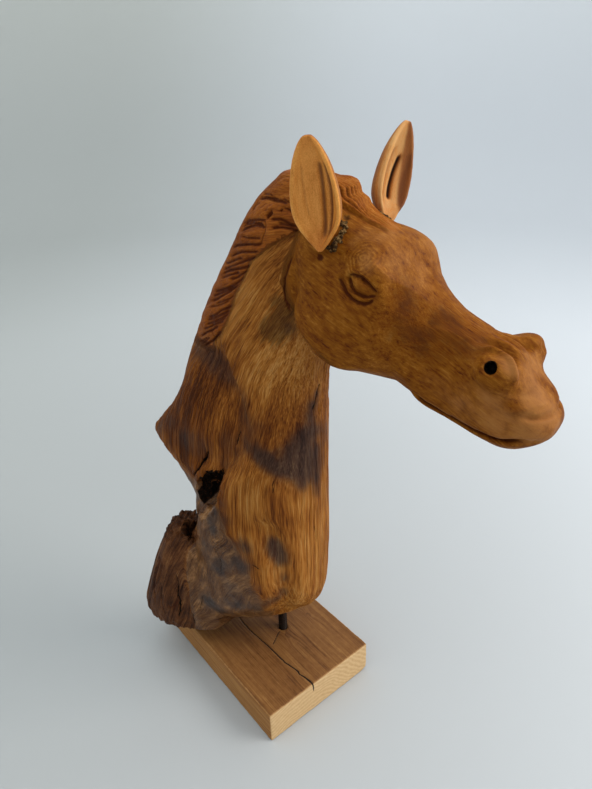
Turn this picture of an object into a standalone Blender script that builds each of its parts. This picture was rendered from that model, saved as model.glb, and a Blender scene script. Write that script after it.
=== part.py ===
"""Carved horse head on a steel rod and a wooden board.

Metres, +Z up. The origin is the middle of the board's underside, and the horse faces +X.
"""

import math
from collections import namedtuple

import bmesh
import bpy
import numpy as np
from mathutils import Matrix, Vector, noise

# Board that the work stands on
BOARD_LENGTH = 0.200
BOARD_WIDTH = 0.132
BOARD_HEIGHT = 0.038
BOARD_EDGE_ROUND = 0.0015
BOARD_TURN = math.radians(-12.0)

# Rod between the board and the trunk, measured from the board's front end and right side
ROD_DIAMETER = 0.0096
ROD_FROM_FRONT = 0.0780
ROD_FROM_SIDE = 0.0779
ROD_SHOWN = 0.020
ROD_IN_BOARD = 0.026
ROD_IN_TRUNK = 0.060
ROD_SIDES = 24

# Room between two pieces that touch, and between a peg and its hole
FIT_GAP = 0.0003

# The carving, from where the rod enters it to the poll
CARVING_HEIGHT = 0.465
# One share of that height, a millimetre on the real carving. The tables below are in these
# shares, from an origin where the rod enters: x forwards, y to the horse's left, z up.
UNIT = CARVING_HEIGHT / 465.0

# Ears, each a scooped leaf set into the head
EAR_LENGTH = 0.076
EAR_WIDTH = 0.035
EAR_DEPTH = 0.018
EAR_WALL = 0.0036
EAR_RIM_ROUND = 0.0008
EAR_BED_BULGE = 0.009

# Carving on the head, neck and trunk
NOSTRIL_DIAMETER = 0.0100
NOSTRIL_END_DIAMETER = 0.0070
NOSTRIL_DEPTH = 0.012
NOSTRIL_SIDES = 16
EYE_GROOVE_DEPTH = 0.0022
MOUTH_GROOVE_DEPTH = 0.0040
MANE_GROOVE_DEPTH = 0.0020
MANE_LOCK_PITCH = 0.0105
MANE_LIFT = 0.0015
FORELOCK_LIFT = 0.0022
CHEEK_LIFT = 0.0020
LOBE_LIFT = 0.0065
STEP_DEPTH = 0.0090
TRUNK_GROOVE_DEPTH = 0.0060

# Crack along the board's top and the corner that is knocked off
CRACK_WIDTH = 0.0016
CRACK_DEPTH = 0.0100
# Its way from the front end of the board, forwards and to the left of the board's middle
CRACK_LINE = [
    (0.1000, -0.0106), (0.0883, -0.0118), (0.0822, -0.0134), (0.0781, -0.0127), (0.0726, -0.0135),
    (0.0607, -0.0160), (0.0403, -0.0163), (0.0218, -0.0174), (0.0019, -0.0193), (-0.0177, -0.0180),
    (-0.0480, -0.0170),
]
# Shares of the crack's width and depth that are gone at its far end
CRACK_NARROWING = 0.75
CRACK_SHALLOWING = 0.60
CHIP_SIZE = 0.0070
# How far an open cutter stands out of the face that it cuts
CUTTER_PROUD = 0.004

# Mesh fineness
RING_SIDES = 32
LUMP_SUBDIVISIONS = 3
ROWS_PER_SPAN = 4
VOXEL = 0.0020
SMOOTH_ROUNDS = 12
HORSE_TRIANGLES = 7700
DETAIL_FAVOUR = 1.2
TURNED_SHARP_ANGLE = math.radians(40.0)
CARVED_SHARP_ANGLE = math.radians(60.0)
EAR_ARC_STEPS = 9
# Where an ear is too narrow for its wall, the scoop is this share of the outside
EAR_THIN_SHARE = 0.42
# How much deeper the scoop is towards one rim, as a share of its depth
EAR_SCOOP_SKEW = 0.40
# An ear's width and depth along its length: all three are shares of the whole, from foot to tip
EAR_OUTLINE = [
    (0.015, 0.08, 0.10), (0.05, 0.23, 0.28), (0.10, 0.42, 0.50), (0.16, 0.61, 0.72), (0.23, 0.82, 0.90),
    (0.31, 0.96, 1.00), (0.40, 1.00, 1.00), (0.49, 0.99, 0.96), (0.58, 0.94, 0.90), (0.67, 0.86, 0.82),
    (0.76, 0.75, 0.68), (0.84, 0.62, 0.53), (0.90, 0.49, 0.39), (0.95, 0.35, 0.27), (0.988, 0.17, 0.16),
]

Section = namedtuple("Section", "lead trail half_width taper square")

# Trunk and neck: front point, back point, half width, how much wider the front is, squareness
NECK = [
    Section((94, 0, 456), (33, 0, 464), 20, 0.0, 2.0),
    Section((88, 0, 420), (0, 0, 437), 29, 0.1, 2.0),
    Section((78, 0, 374), (-31, 0, 393), 35, 0.1, 2.0),
    Section((67, 0, 338), (-54, -2, 357), 38, 0.1, 2.0),
    Section((61, 0, 300), (-76, -6, 316), 41, 0.1, 2.1),
    Section((61, 0, 262), (-90, -12, 276), 43, 0.1, 2.1),
    Section((61, 0, 226), (-96, -18, 240), 45, 0.1, 2.1),
    Section((61, 0, 190), (-96, -20, 202), 46, 0.1, 2.1),
    Section((60, 1, 156), (-82, -22, 164), 46, 0.1, 2.1),
    Section((59, 3, 122), (-74, -28, 122), 47, 0.1, 2.1),
    Section((58, 5, 93), (-80, -36, 82), 48, 0.05, 2.1),
    Section((56, 6, 71), (-92, -45, 50), 46, 0.0, 2.1),
    Section((45, 8, 49), (-98, -50, 28), 39, 0.0, 2.1),
    Section((27, 10, 30), (-100, -54, 9), 28, 0.0, 2.1),
    Section((6, 10, 11), (-98, -56, -3), 18, 0.0, 2.1),
]

# Root that flares out behind and to the right at the foot
ROOT = [
    Section((-72, -48, 121), (-87, -54, 124), 9, 0.0, 2.0),
    Section((-58, -40, 102), (-95, -62, 104), 21, 0.0, 2.0),
    Section((-44, -38, 66), (-115, -72, 62), 28, 0.0, 2.0),
    Section((-34, -40, 30), (-132, -78, 17), 29, 0.0, 2.0),
    Section((-34, -44, 3), (-128, -76, -2), 25, 0.0, 2.0),
]

# Pointed stump of a branch on the back of the neck
STUMP = [
    Section((-40, -22, 272), (-84, -20, 280), 20, 0.3, 2.0),
    Section((-40, -24, 248), (-101, -24, 250), 22, 0.3, 2.0),
    Section((-40, -24, 226), (-123, -28, 226), 22, 0.4, 2.0),
    Section((-40, -26, 204), (-138, -30, 204), 20, 0.5, 2.0),
    Section((-40, -26, 190), (-113, -30, 190), 20, 0.4, 2.0),
    Section((-40, -26, 174), (-94, -30, 176), 20, 0.3, 2.0),
    Section((-40, -26, 156), (-80, -30, 158), 18, 0.3, 2.0),
    Section((-44, -26, 126), (-70, -30, 130), 16, 0.3, 2.0),
]

# Head from the poll to the lips: top point, bottom point, half width, how much wider the top is
HEAD = [
    Section((60, 0, 458), (58, 0, 380), 26, 0.0, 2.0),
    Section((80, 0, 457), (70, 0, 342), 39, -0.08, 2.1),
    Section((107, 0, 438), (93, 0, 326), 43, -0.10, 2.15),
    Section((136, 0, 426), (120, 0, 327), 42, 0.10, 3.2),
    Section((149, 0, 404), (142, 0, 327), 34, 0.00, 2.6),
    Section((165, 0, 390), (157, 0, 313), 28, -0.08, 2.4),
    Section((182, 0, 380), (171, 0, 308), 25, -0.05, 2.5),
    Section((199, 0, 372), (188, 0, 304), 27, 0.0, 2.5),
    Section((216, 0, 366), (205, 0, 300), 29, 0.0, 2.5),
    Section((231, 0, 350), (221, 0, 298), 27, 0.0, 2.4),
    Section((243, 0, 337), (236, 0, 304), 21, 0.0, 2.3),
    Section((249, 0, 326), (247, 0, 313), 12, 0.0, 2.1),
]

Lump = namedtuple("Lump", "centre radii pitch square sides")
BOTH_SIDES = (-1, 1)
RIGHT_SIDE = (-1,)
LEFT_SIDE = (1,)

# Swellings, given as if on the left: brow, nostril, cheek, upper lip and the burl on the trunk
LUMPS = [
    Lump((124, 30, 405), (18, 13, 14), 15, 2.0, BOTH_SIDES),
    Lump((212, 20, 355), (15, 12, 11), 12, 2.6, BOTH_SIDES),
    Lump((216, 22, 356), (11, 10, 13), 0, 2.8, LEFT_SIDE),
    Lump((104, 29, 368), (43, 17, 37), 0, 2.0, BOTH_SIDES),
    Lump((230, 12, 325), (15, 14, 12), 0, 2.0, BOTH_SIDES),
    Lump((-24, 36, 126), (38, 28, 70), 18, 2.3, RIGHT_SIDE),
]

# Carved lines, seen from the side: x and z of each point, half width, share of the full depth,
# and the side they are on, -1 for the right and 0 for both
Crease = namedtuple("Crease", "path half_width share side")

EYE_LINES = [
    Crease([(113, 405), (119, 408), (126, 407), (135, 398)], 1.5, 1.0, 0),
    Crease([(113, 405), (117, 401), (123, 397), (134, 398)], 1.5, 1.0, 0),
    Crease([(107, 405), (112, 398), (119, 392), (127, 391), (134, 394)], 1.3, 0.8, 0),
]
MOUTH_LINES = [
    Crease([(155, 326), (162, 321), (178, 315), (199, 312), (217, 311), (236, 313)], 2.2, 1.0, 0),
    Crease([(214, 334), (230, 332), (243, 333), (250, 334)], 2.0, 0.35, 0),
]
TRUNK_LINES = [
    Crease([(6, 296), (12, 265), (11, 242), (-8, 208)], 5, 0.5, -1),
    Crease([(30, 166), (36, 140), (41, 118), (40, 74), (34, 50)], 8, 1.3, -1),
    Crease([(-56, 150), (-64, 112), (-72, 70), (-62, 10)], 8, 1.0, -1),
    Crease([(-60, 188), (-42, 208), (-30, 225)], 1.8, 0.8, -1),
]
# A line on one side fades out over these distances from the middle of the carving
SIDE_FADE = (4, 14)
# Lines stay off faces that look up or down, where the sideways normal is shorter than this
SIDE_FACING = (0.1, 0.4)

# Line on the right where the trunk steps in behind its front, x at each height z, and how far
# behind that line the step begins and ends
STEP_LINE = [(200, -16), (208, -10), (242, 11), (265, 12), (296, 5), (330, -14)]
STEP_RISE = (-2, 6)
STEP_FALL = (14, 70)
STEP_FOOT = (196, 214)
STEP_TOP = (310, 345)

# Lower lobe of the trunk on the right, which stands proud below this line
LOBE_EDGE = [(-60, 150), (-34, 172), (-18, 191), (0, 216), (14, 230), (34, 236), (54, 230), (70, 212)]
LOBE_EDGE_SOFT = (-8, 16)
LOBE_FRONT = (32, 62)
LOBE_FOOT = (20, 120)
LOBE_SIDE = (-30, 0)

# Back edge of the cheek plates: x at each height z
CHEEK_BACK = [(346, 90), (358, 71), (368, 60), (380, 54), (392, 51), (404, 53), (416, 60), (432, 66)]
CHEEK_RISE = (-2, 3)
CHEEK_FALL = (6, 30)
CHEEK_FOOT = (340, 352)
CHEEK_TOP = (416, 432)
CHEEK_SIDE = (12, 22)

# Front edge of the mane: x at each height z. Its locks lie steeper at the foot than at the top.
MANE_FRONT = [(331, -20), (344, -13), (365, -1), (387, 10), (404, 26), (419, 48), (431, 70), (440, 84)]
MANE_FRONT_SOFT = (-1.5, 2.5)
MANE_FOOT = (322, 330)
MANE_TOP = (454, 464)
MANE_CREST = (6, 24)
MANE_SLOPES = (0.80, 0.25)
MANE_GROOVE_SHARPNESS = 3

# Forelock: a tapering tongue from the poll to its tip on the brow, x from back to front
FORELOCK_ROOT = (66, 76)
FORELOCK_TIP = 123
FORELOCK_HALF_WIDTH = 19
FORELOCK_TAPER = 0.7
FORELOCK_EDGE_SOFT = 0.25
FORELOCK_STRANDS = 3.0
FORELOCK_GROOVE_SHARE = 0.6
TOP_FACING = (0.2, 0.5)

# Regions that keep more of their faces, and how much more: x, y and z from lowest to highest
Region = namedtuple("Region", "x y z keep")
DETAIL_REGIONS = [
    Region((-150, 80), (-100, 0), (-20, 300), 0.15),
    Region((-60, 88), (-60, 60), (326, 480), 0.40),
    Region((66, 123), (-24, 24), (424, 480), 0.40),
    Region((150, 260), (-60, 60), (290, 372), 0.50),
    Region((103, 139), (-60, 60), (386, 412), 1.00),
]

# Hollows that the wood has rotted out: between the stump and the root, and in the root's broken top
Hollow = namedtuple("Hollow", "name centre radii pitch roughness")
HOLLOW_NOISE_SCALE = 2.3
HOLLOWS = [
    Hollow("trunk_hollow", (-36, -60, 178), (17, 28, 32), 34, 0.34),
    Hollow("root_hollow", (-69, -56, 118), (8, 8, 14), 0, 0.40),
]

# Ears: the foot of the leaf, its tip, the compass direction that the scoop faces, and the side
# where the scoop is deepest
Ear = namedtuple("Ear", "name foot tip facing deep_side")
EARS = [
    Ear("right_ear", (92, -42, 419), (95, -57, 493), -73.0, -1),
    Ear("left_ear", (97, 35, 422), (99, 57, 496), -10.0, 1),
]

# Nostril mouth, seen from the side, and the outward direction of its hole on the left
NOSTRIL_PLACE = (210.5, 31, 362)
NOSTRIL_DIRECTION = (0.15, 0.95, 0.28)


def clear_scene():
    for thing in list(bpy.data.objects):
        bpy.data.objects.remove(thing)


def new_collection(name):
    collection = bpy.data.collections.new(name)
    bpy.context.scene.collection.children.link(collection)
    return collection


def make_material(name, colour, roughness, metallic=0.0):
    material = bpy.data.materials.new(name)
    material.use_nodes = True
    shader = material.node_tree.nodes["Principled BSDF"]
    shader.inputs["Base Color"].default_value = (*colour, 1.0)
    shader.inputs["Roughness"].default_value = roughness
    shader.inputs["Metallic"].default_value = metallic
    return material


def add_object(name, mesh, collection, material=None):
    thing = bpy.data.objects.new(name, mesh)
    collection.objects.link(thing)
    if material is not None:
        mesh.materials.clear()
        mesh.materials.append(material)
    return thing


def mesh_from(bm, name):
    mesh = bpy.data.meshes.new(name)
    bm.to_mesh(mesh)
    bm.free()
    return mesh


def baked(thing):
    """Replace an object's mesh by the one its modifiers give."""
    graph = bpy.context.evaluated_depsgraph_get()
    mesh = bpy.data.meshes.new_from_object(thing.evaluated_get(graph))
    thing.modifiers.clear()
    thing.data = mesh


def superellipse(angle, square):
    along = math.cos(angle)
    across = math.sin(angle)
    power = 2.0 / square
    return (math.copysign(abs(along) ** power, along), math.copysign(abs(across) ** power, across))


def flatten(section):
    return np.array([*section.lead, *section.trail, section.half_width, section.taper, section.square])


def smooth_rows(sections):
    """Sections between the given ones, on Catmull-Rom curves through them."""
    keys = [flatten(section) for section in sections]
    keys = [2 * keys[0] - keys[1], *keys, 2 * keys[-1] - keys[-2]]
    rows = []
    for before, start, end, after in zip(keys, keys[1:], keys[2:], keys[3:]):
        for step in range(ROWS_PER_SPAN):
            t = step / ROWS_PER_SPAN
            rows.append(0.5 * (2 * start + (end - before) * t
                               + (2 * before - 5 * start + 4 * end - after) * t ** 2
                               + (3 * start - before - 3 * end + after) * t ** 3))
    rows.append(keys[-2])
    return rows


def ring(row):
    """Closed outline of one section, in the plane of its lead, its trail and the sideways line."""
    lead = Vector(row[0:3])
    trail = Vector(row[3:6])
    half_width, taper, square = row[6:9]
    centre = (lead + trail) / 2
    reach = (lead - trail) / 2
    flat = Vector((reach.x, reach.y, 0.0))
    if abs(reach.z) > flat.length:
        sideways = Vector((0.0, 1.0, 0.0))
    else:
        sideways = Vector((-flat.y, flat.x, 0.0)).normalized()
    points = []
    for index in range(RING_SIDES):
        along, across = superellipse(2 * math.pi * index / RING_SIDES, square)
        width = half_width * (1 + taper * along)
        points.append(centre + reach * along + sideways * width * across)
    return points


def loft(bm, rings):
    rows = [[bm.verts.new(point) for point in points] for points in rings]
    for low, high in zip(rows, rows[1:]):
        for index in range(len(low)):
            following = (index + 1) % len(low)
            bm.faces.new((low[index], low[following], high[following], high[index]))
    bm.faces.new(rows[0])
    bm.faces.new(rows[-1])
    bmesh.ops.recalc_face_normals(bm, faces=bm.faces)


def add_lump(bm, lump, side):
    """A swelling: a ball, or for a squareness above 2 a ball with flatter sides."""
    centre = (lump.centre[0], side * lump.centre[1], lump.centre[2])
    place = Matrix.Translation(centre) @ Matrix.Rotation(math.radians(lump.pitch), 4, "Y")
    ball = bmesh.ops.create_icosphere(bm, subdivisions=LUMP_SUBDIVISIONS, radius=1.0)["verts"]
    for vert in ball:
        vert.co /= sum(abs(share) ** lump.square for share in vert.co) ** (1 / lump.square)
    bmesh.ops.transform(bm, matrix=place @ Matrix.Diagonal((*lump.radii, 1.0)), verts=ball)


def rough_horse():
    """Overlapping closed bodies of the trunk, root, stump and head, in shares of the height."""
    bm = bmesh.new()
    for sections in (NECK, ROOT, STUMP, HEAD):
        piece = bmesh.new()
        loft(piece, [ring(row) for row in smooth_rows(sections)])
        part = mesh_from(piece, "rough")
        bm.from_mesh(part)
        bpy.data.meshes.remove(part)
    for lump in LUMPS:
        for side in lump.sides:
            add_lump(bm, lump, side)
    return mesh_from(bm, "horse_head")


def path_distance(points, path):
    """Distance of each side-view point to a line through the given points."""
    path = np.array(path, dtype=float)
    nearest = np.full(len(points), np.inf)
    for start, end in zip(path, path[1:]):
        along = end - start
        share = np.clip((points - start) @ along / (along @ along), 0.0, 1.0)
        nearest = np.minimum(nearest, np.linalg.norm(points - start - share[:, None] * along, axis=1))
    return nearest


def ramp(value, low, high):
    """Smooth step from 0 at low to 1 at high."""
    share = np.clip((value - low) / (high - low), 0.0, 1.0)
    return share * share * (3 - 2 * share)


def crease_depth(place, normal, crease):
    side_view = place[:, [0, 2]]
    shape = np.exp(-(path_distance(side_view, crease.path) / crease.half_width) ** 2)
    if crease.side:
        shape *= ramp(crease.side * place[:, 1], *SIDE_FADE)
    return crease.share * shape * ramp(np.abs(normal[:, 0]) + np.abs(normal[:, 1]), *SIDE_FACING)


def mane_lift(place):
    """The mane stands a little proud of the neck, with grooves between its locks."""
    x, y, z = place.T
    front = np.interp(z, *zip(*MANE_FRONT))
    inside = ramp(front - x, *MANE_FRONT_SOFT) * ramp(z, *MANE_FOOT)
    slope = np.interp(z, (MANE_FOOT[0], MANE_TOP[1]), MANE_SLOPES)
    phase = (z - slope * (x - front)) * UNIT / MANE_LOCK_PITCH
    groove = (0.5 + 0.5 * np.cos(2 * np.pi * phase)) ** MANE_GROOVE_SHARPNESS
    groove *= ramp(np.abs(y), *MANE_CREST) * (1 - ramp(z, *MANE_TOP))
    return inside * (MANE_LIFT - MANE_GROOVE_DEPTH * groove)


def forelock_lift(place, normal):
    x, y = place.T[:2]
    share = np.clip((x - FORELOCK_ROOT[0]) / (FORELOCK_TIP - FORELOCK_ROOT[0]), 0.0, 1.0)
    half_width = FORELOCK_HALF_WIDTH * (1 - share) ** FORELOCK_TAPER + 0.5
    across = y / half_width
    inside = ramp(1 - np.abs(across), 0.0, FORELOCK_EDGE_SOFT) * ramp(x, *FORELOCK_ROOT)
    groove = (0.5 + 0.5 * np.cos(2 * np.pi * FORELOCK_STRANDS * across)) ** 2
    inside *= ramp(normal[:, 2], *TOP_FACING)
    return inside * FORELOCK_LIFT * (1 - FORELOCK_GROOVE_SHARE * groove)


def cheek_lift(place):
    """The cheek plate rises sharply at its back edge and dies away forwards."""
    x, y, z = place.T
    behind = x - np.interp(z, *zip(*CHEEK_BACK))
    plate = ramp(behind, *CHEEK_RISE) - ramp(behind, *CHEEK_FALL)
    plate *= ramp(z, *CHEEK_FOOT) * (1 - ramp(z, *CHEEK_TOP))
    return plate * ramp(np.abs(y), *CHEEK_SIDE) * CHEEK_LIFT


def lobe_lift(place):
    x, y, z = place.T
    below = ramp(np.interp(x, *zip(*LOBE_EDGE)) - z, *LOBE_EDGE_SOFT)
    return below * (1 - ramp(x, *LOBE_FRONT)) * ramp(z, *LOBE_FOOT) * ramp(-y, *LOBE_SIDE) * LOBE_LIFT


def step_lift(place):
    """The trunk's side steps in behind a line and comes out again further back."""
    x, y, z = place.T
    behind = np.interp(z, *zip(*STEP_LINE)) - x
    shape = ramp(behind, *STEP_RISE) * (1 - ramp(behind, *STEP_FALL)) * ramp(-y, *SIDE_FADE)
    return -STEP_DEPTH * shape * ramp(z, *STEP_FOOT) * (1 - ramp(z, *STEP_TOP))


def vertex_places(mesh):
    """The skin's points, in shares of the carving's height."""
    place = np.empty(len(mesh.vertices) * 3)
    mesh.vertices.foreach_get("co", place)
    return place.reshape(-1, 3) / UNIT


def carve(horse):
    """Push the skin in and out along its normals, by the carved lines and raised areas."""
    mesh = horse.data
    place = vertex_places(mesh)
    normal = np.empty(place.size)
    mesh.vertex_normals.foreach_get("vector", normal)
    normal = normal.reshape(-1, 3)
    move = mane_lift(place) + forelock_lift(place, normal) + cheek_lift(place)
    move += lobe_lift(place) + step_lift(place)
    lines = ((EYE_LINES, EYE_GROOVE_DEPTH), (MOUTH_LINES, MOUTH_GROOVE_DEPTH),
             (TRUNK_LINES, TRUNK_GROOVE_DEPTH))
    for creases, full_depth in lines:
        for crease in creases:
            move -= crease_depth(place, normal, crease) * full_depth
    place = place * UNIT + normal * move[:, None]
    mesh.vertices.foreach_set("co", place.ravel())
    mesh.update()


def mark_detail(horse):
    """Weight the regions that keep more of their faces than the plain trunk."""
    place = vertex_places(horse.data)
    group = horse.vertex_groups.new(name="detail")
    for region in DETAIL_REGIONS:
        low, high = np.array([region.x, region.y, region.z]).T
        inside = ((place > low) & (place < high)).all(axis=1)
        group.add(np.flatnonzero(inside).tolist(), region.keep, "REPLACE")


def thin_out(horse):
    """Fewer, larger faces, most of them on the carving's details."""
    mark_detail(horse)
    thin = horse.modifiers.new("fewer faces", "DECIMATE")
    thin.ratio = HORSE_TRIANGLES / (2 * len(horse.data.polygons))
    thin.vertex_group = "detail"
    thin.invert_vertex_group = True
    thin.vertex_group_factor = DETAIL_FAVOUR
    baked(horse)


def cut(thing, cutter):
    """Take a cutter's shape out of a piece."""
    boolean = thing.modifiers.new("cut " + cutter.name, "BOOLEAN")
    boolean.operation = "DIFFERENCE"
    boolean.solver = "EXACT"
    boolean.object = cutter


def add_cutter(name, bm, cutters, parent=None):
    cutter = add_object(name, mesh_from(bm, name), cutters)
    cutter.hide_render = True
    cutter.display_type = "WIRE"
    cutter.parent = parent
    return cutter


def hollow_cutter(hollow, cutters):
    """A lumpy ball, so that the hollow has a ragged rim."""
    bm = bmesh.new()
    bmesh.ops.create_icosphere(bm, subdivisions=LUMP_SUBDIVISIONS, radius=1.0)
    for vert in bm.verts:
        vert.co *= 1 + hollow.roughness * noise.noise(vert.co * HOLLOW_NOISE_SCALE)
    bm.transform(Matrix.Scale(UNIT, 4) @ Matrix.Translation(hollow.centre)
                 @ Matrix.Rotation(math.radians(hollow.pitch), 4, "Y")
                 @ Matrix.Diagonal((*hollow.radii, 1.0)))
    return add_cutter(hollow.name, bm, cutters)


def nostril_cutter(side, cutters, horse):
    bm = bmesh.new()
    mouth = Vector((NOSTRIL_PLACE[0], side * NOSTRIL_PLACE[1], NOSTRIL_PLACE[2])) * UNIT
    direction = Vector((NOSTRIL_DIRECTION[0], side * NOSTRIL_DIRECTION[1], NOSTRIL_DIRECTION[2]))
    turn = direction.to_track_quat("Z", "Y").to_matrix().to_4x4()
    bmesh.ops.create_cone(bm, cap_ends=True, segments=NOSTRIL_SIDES, radius1=NOSTRIL_END_DIAMETER / 2,
                          radius2=NOSTRIL_DIAMETER / 2, depth=2 * NOSTRIL_DEPTH,
                          matrix=Matrix.Translation(mouth) @ turn)
    return add_cutter("left_nostril" if side > 0 else "right_nostril", bm, cutters, horse)


def bore_cutter(name, bottom, top, cutters, parent=None):
    bm = bmesh.new()
    radius = ROD_DIAMETER / 2 + FIT_GAP
    bmesh.ops.create_cone(bm, cap_ends=True, segments=ROD_SIDES, radius1=radius, radius2=radius,
                          depth=top - bottom, matrix=Matrix.Translation((0, 0, (bottom + top) / 2)))
    return add_cutter(name, bm, cutters, parent)


def half_ellipse(half_width, depth, offset, height, turn, skew=0.0):
    """Points across the ear, from side to side round its back, or back again if turn is -1."""
    points = []
    for step in range(EAR_ARC_STEPS + 1):
        angle = turn * math.pi * (step / EAR_ARC_STEPS - 0.5)
        down = depth * math.cos(angle) * (1 + skew * math.sin(angle))
        points.append(Vector((half_width * math.sin(angle), offset - down, height)))
    return points


def ear_rings(deep_side):
    """Outlines across the ear from its foot to its tip, with the scoop on +Y."""
    rings = []
    for share, width_share, depth_share in EAR_OUTLINE:
        half_width = EAR_WIDTH / 2 * width_share
        depth = EAR_DEPTH * depth_share
        inner_width = max(half_width - EAR_WALL, EAR_THIN_SHARE * half_width)
        inner_depth = max(depth - EAR_WALL, EAR_THIN_SHARE * depth) / (1 + EAR_SCOOP_SKEW / 2)
        height = EAR_LENGTH * share
        back = half_ellipse(half_width, depth, 0.0, height, 1)
        scoop = half_ellipse(inner_width, inner_depth, EAR_RIM_ROUND, height, -1,
                             deep_side * EAR_SCOOP_SKEW)
        rings.append(back + scoop)
    return rings


def ear_bed_rings():
    """The same outlines with the fitting gap all round and a full face instead of the scoop."""
    rings = []
    for share, width_share, depth_share in EAR_OUTLINE:
        half_width = EAR_WIDTH / 2 * width_share + FIT_GAP
        height = EAR_LENGTH * share + math.copysign(FIT_GAP, share - 0.5)
        back = half_ellipse(half_width, EAR_DEPTH * depth_share + FIT_GAP, 0.0, height, 1)
        front = half_ellipse(half_width - FIT_GAP, -EAR_BED_BULGE, EAR_RIM_ROUND + FIT_GAP, height, -1)
        rings.append(back + front)
    return rings


def ear_matrix(ear):
    """Place of an ear's own frame in the carving: Z to its tip, Y the way the scoop faces."""
    foot = Vector(ear.foot) * UNIT
    up = (Vector(ear.tip) - Vector(ear.foot)).normalized()
    heading = math.radians(ear.facing)
    face = Vector((math.cos(heading), math.sin(heading), 0.0))
    face = (face - up * face.dot(up)).normalized()
    across = face.cross(up)
    turn = Matrix((across, face, up)).transposed().to_4x4()
    return Matrix.Translation(foot) @ turn


def smooth_shaded(thing, sharp_angle=TURNED_SHARP_ANGLE):
    thing.data.shade_smooth()
    thing.data.set_sharp_from_angle(angle=sharp_angle)


def build_ears(horse, parts, cutters, material):
    for ear in EARS:
        leaf = bmesh.new()
        loft(leaf, ear_rings(ear.deep_side))
        piece = add_object(ear.name, mesh_from(leaf, ear.name), parts, material)
        piece.parent = horse
        piece.matrix_local = ear_matrix(ear)
        smooth_shaded(piece)
        bed = bmesh.new()
        loft(bed, ear_bed_rings())
        bed.transform(ear_matrix(ear))
        cut(horse, add_cutter(ear.name + "_bed", bed, cutters, horse))


def build_horse(parts, cutters, material, ear_material, place):
    horse = add_object("horse_head", rough_horse(), parts, material)
    horse.data.transform(Matrix.Scale(UNIT, 4))
    remesh = horse.modifiers.new("one skin", "REMESH")
    remesh.mode = "VOXEL"
    remesh.voxel_size = VOXEL
    smooth = horse.modifiers.new("soften", "SMOOTH")
    smooth.factor = 0.5
    smooth.iterations = SMOOTH_ROUNDS
    baked(horse)
    carve(horse)
    for hollow in HOLLOWS:
        cut(horse, hollow_cutter(hollow, cutters))
    baked(horse)
    thin_out(horse)
    horse.location = place
    build_ears(horse, parts, cutters, ear_material)
    for side in (-1, 1):
        cut(horse, nostril_cutter(side, cutters, horse))
    cut(horse, bore_cutter("trunk_bore", -ROD_SHOWN, ROD_IN_TRUNK + FIT_GAP, cutters, horse))
    bpy.context.view_layer.update()
    baked(horse)
    smooth_shaded(horse, CARVED_SHARP_ANGLE)


def rod_place():
    """The rod's axis on the board, in the row frame."""
    along = BOARD_LENGTH / 2 - ROD_FROM_FRONT
    across = ROD_FROM_SIDE - BOARD_WIDTH / 2
    return Matrix.Rotation(BOARD_TURN, 3, "Z") @ Vector((along, across, 0.0))


def build_rod(parts, material):
    length = ROD_IN_BOARD + ROD_SHOWN + ROD_IN_TRUNK
    bm = bmesh.new()
    bmesh.ops.create_cone(bm, cap_ends=True, segments=ROD_SIDES, radius1=ROD_DIAMETER / 2,
                          radius2=ROD_DIAMETER / 2, depth=length)
    rod = add_object("support_rod", mesh_from(bm, "support_rod"), parts, material)
    rod.location = rod_place() + Vector((0, 0, BOARD_HEIGHT - ROD_IN_BOARD + length / 2))
    smooth_shaded(rod)


def crack_cutter(cutters, board):
    """A thin wandering wedge along the board, open at its front end and narrowing to a point."""
    proud = Vector((CUTTER_PROUD, 0.0))
    line = [Vector(CRACK_LINE[0]) + proud, *map(Vector, CRACK_LINE[1:])]
    top = BOARD_HEIGHT + CUTTER_PROUD
    rings = []
    for along, across in line:
        share = (line[0].x - along) / (line[0].x - line[-1].x)
        half_width = CRACK_WIDTH / 2 * (1 - CRACK_NARROWING * share)
        depth = CRACK_DEPTH * (1 - CRACK_SHALLOWING * share)
        rings.append([Vector((along, across - half_width, top)), Vector((along, across + half_width, top)),
                      Vector((along, across, BOARD_HEIGHT - depth))])
    bm = bmesh.new()
    loft(bm, rings)
    return add_cutter("crack", bm, cutters, board)


def chip_cutter(cutters, board):
    """A small tilted cube that takes off the lower corner at the front and left."""
    corner = Vector((BOARD_LENGTH / 2, BOARD_WIDTH / 2, 0.0))
    tilt = Matrix.Rotation(math.radians(45.0), 4, (1.0, -1.0, 0.4))
    bm = bmesh.new()
    bmesh.ops.create_cube(bm, size=CHIP_SIZE, matrix=Matrix.Translation(corner) @ tilt)
    return add_cutter("chip", bm, cutters, board)


def build_board(parts, cutters, material):
    bm = bmesh.new()
    bmesh.ops.create_cube(bm, size=1.0)
    bm.transform(Matrix.Translation((0, 0, BOARD_HEIGHT / 2))
                 @ Matrix.Diagonal((BOARD_LENGTH, BOARD_WIDTH, BOARD_HEIGHT, 1.0)))
    board = add_object("base_board", mesh_from(bm, "base_board"), parts, material)
    board.rotation_euler.z = BOARD_TURN
    bevel = board.modifiers.new("worn edges", "BEVEL")
    bevel.width = BOARD_EDGE_ROUND
    bevel.segments = 2
    cut(board, crack_cutter(cutters, board))
    cut(board, chip_cutter(cutters, board))
    bore = bore_cutter("board_bore", BOARD_HEIGHT - ROD_IN_BOARD - FIT_GAP,
                       BOARD_HEIGHT + CUTTER_PROUD, cutters)
    bore.location = rod_place()
    cut(board, bore)
    smooth_shaded(board)


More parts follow.
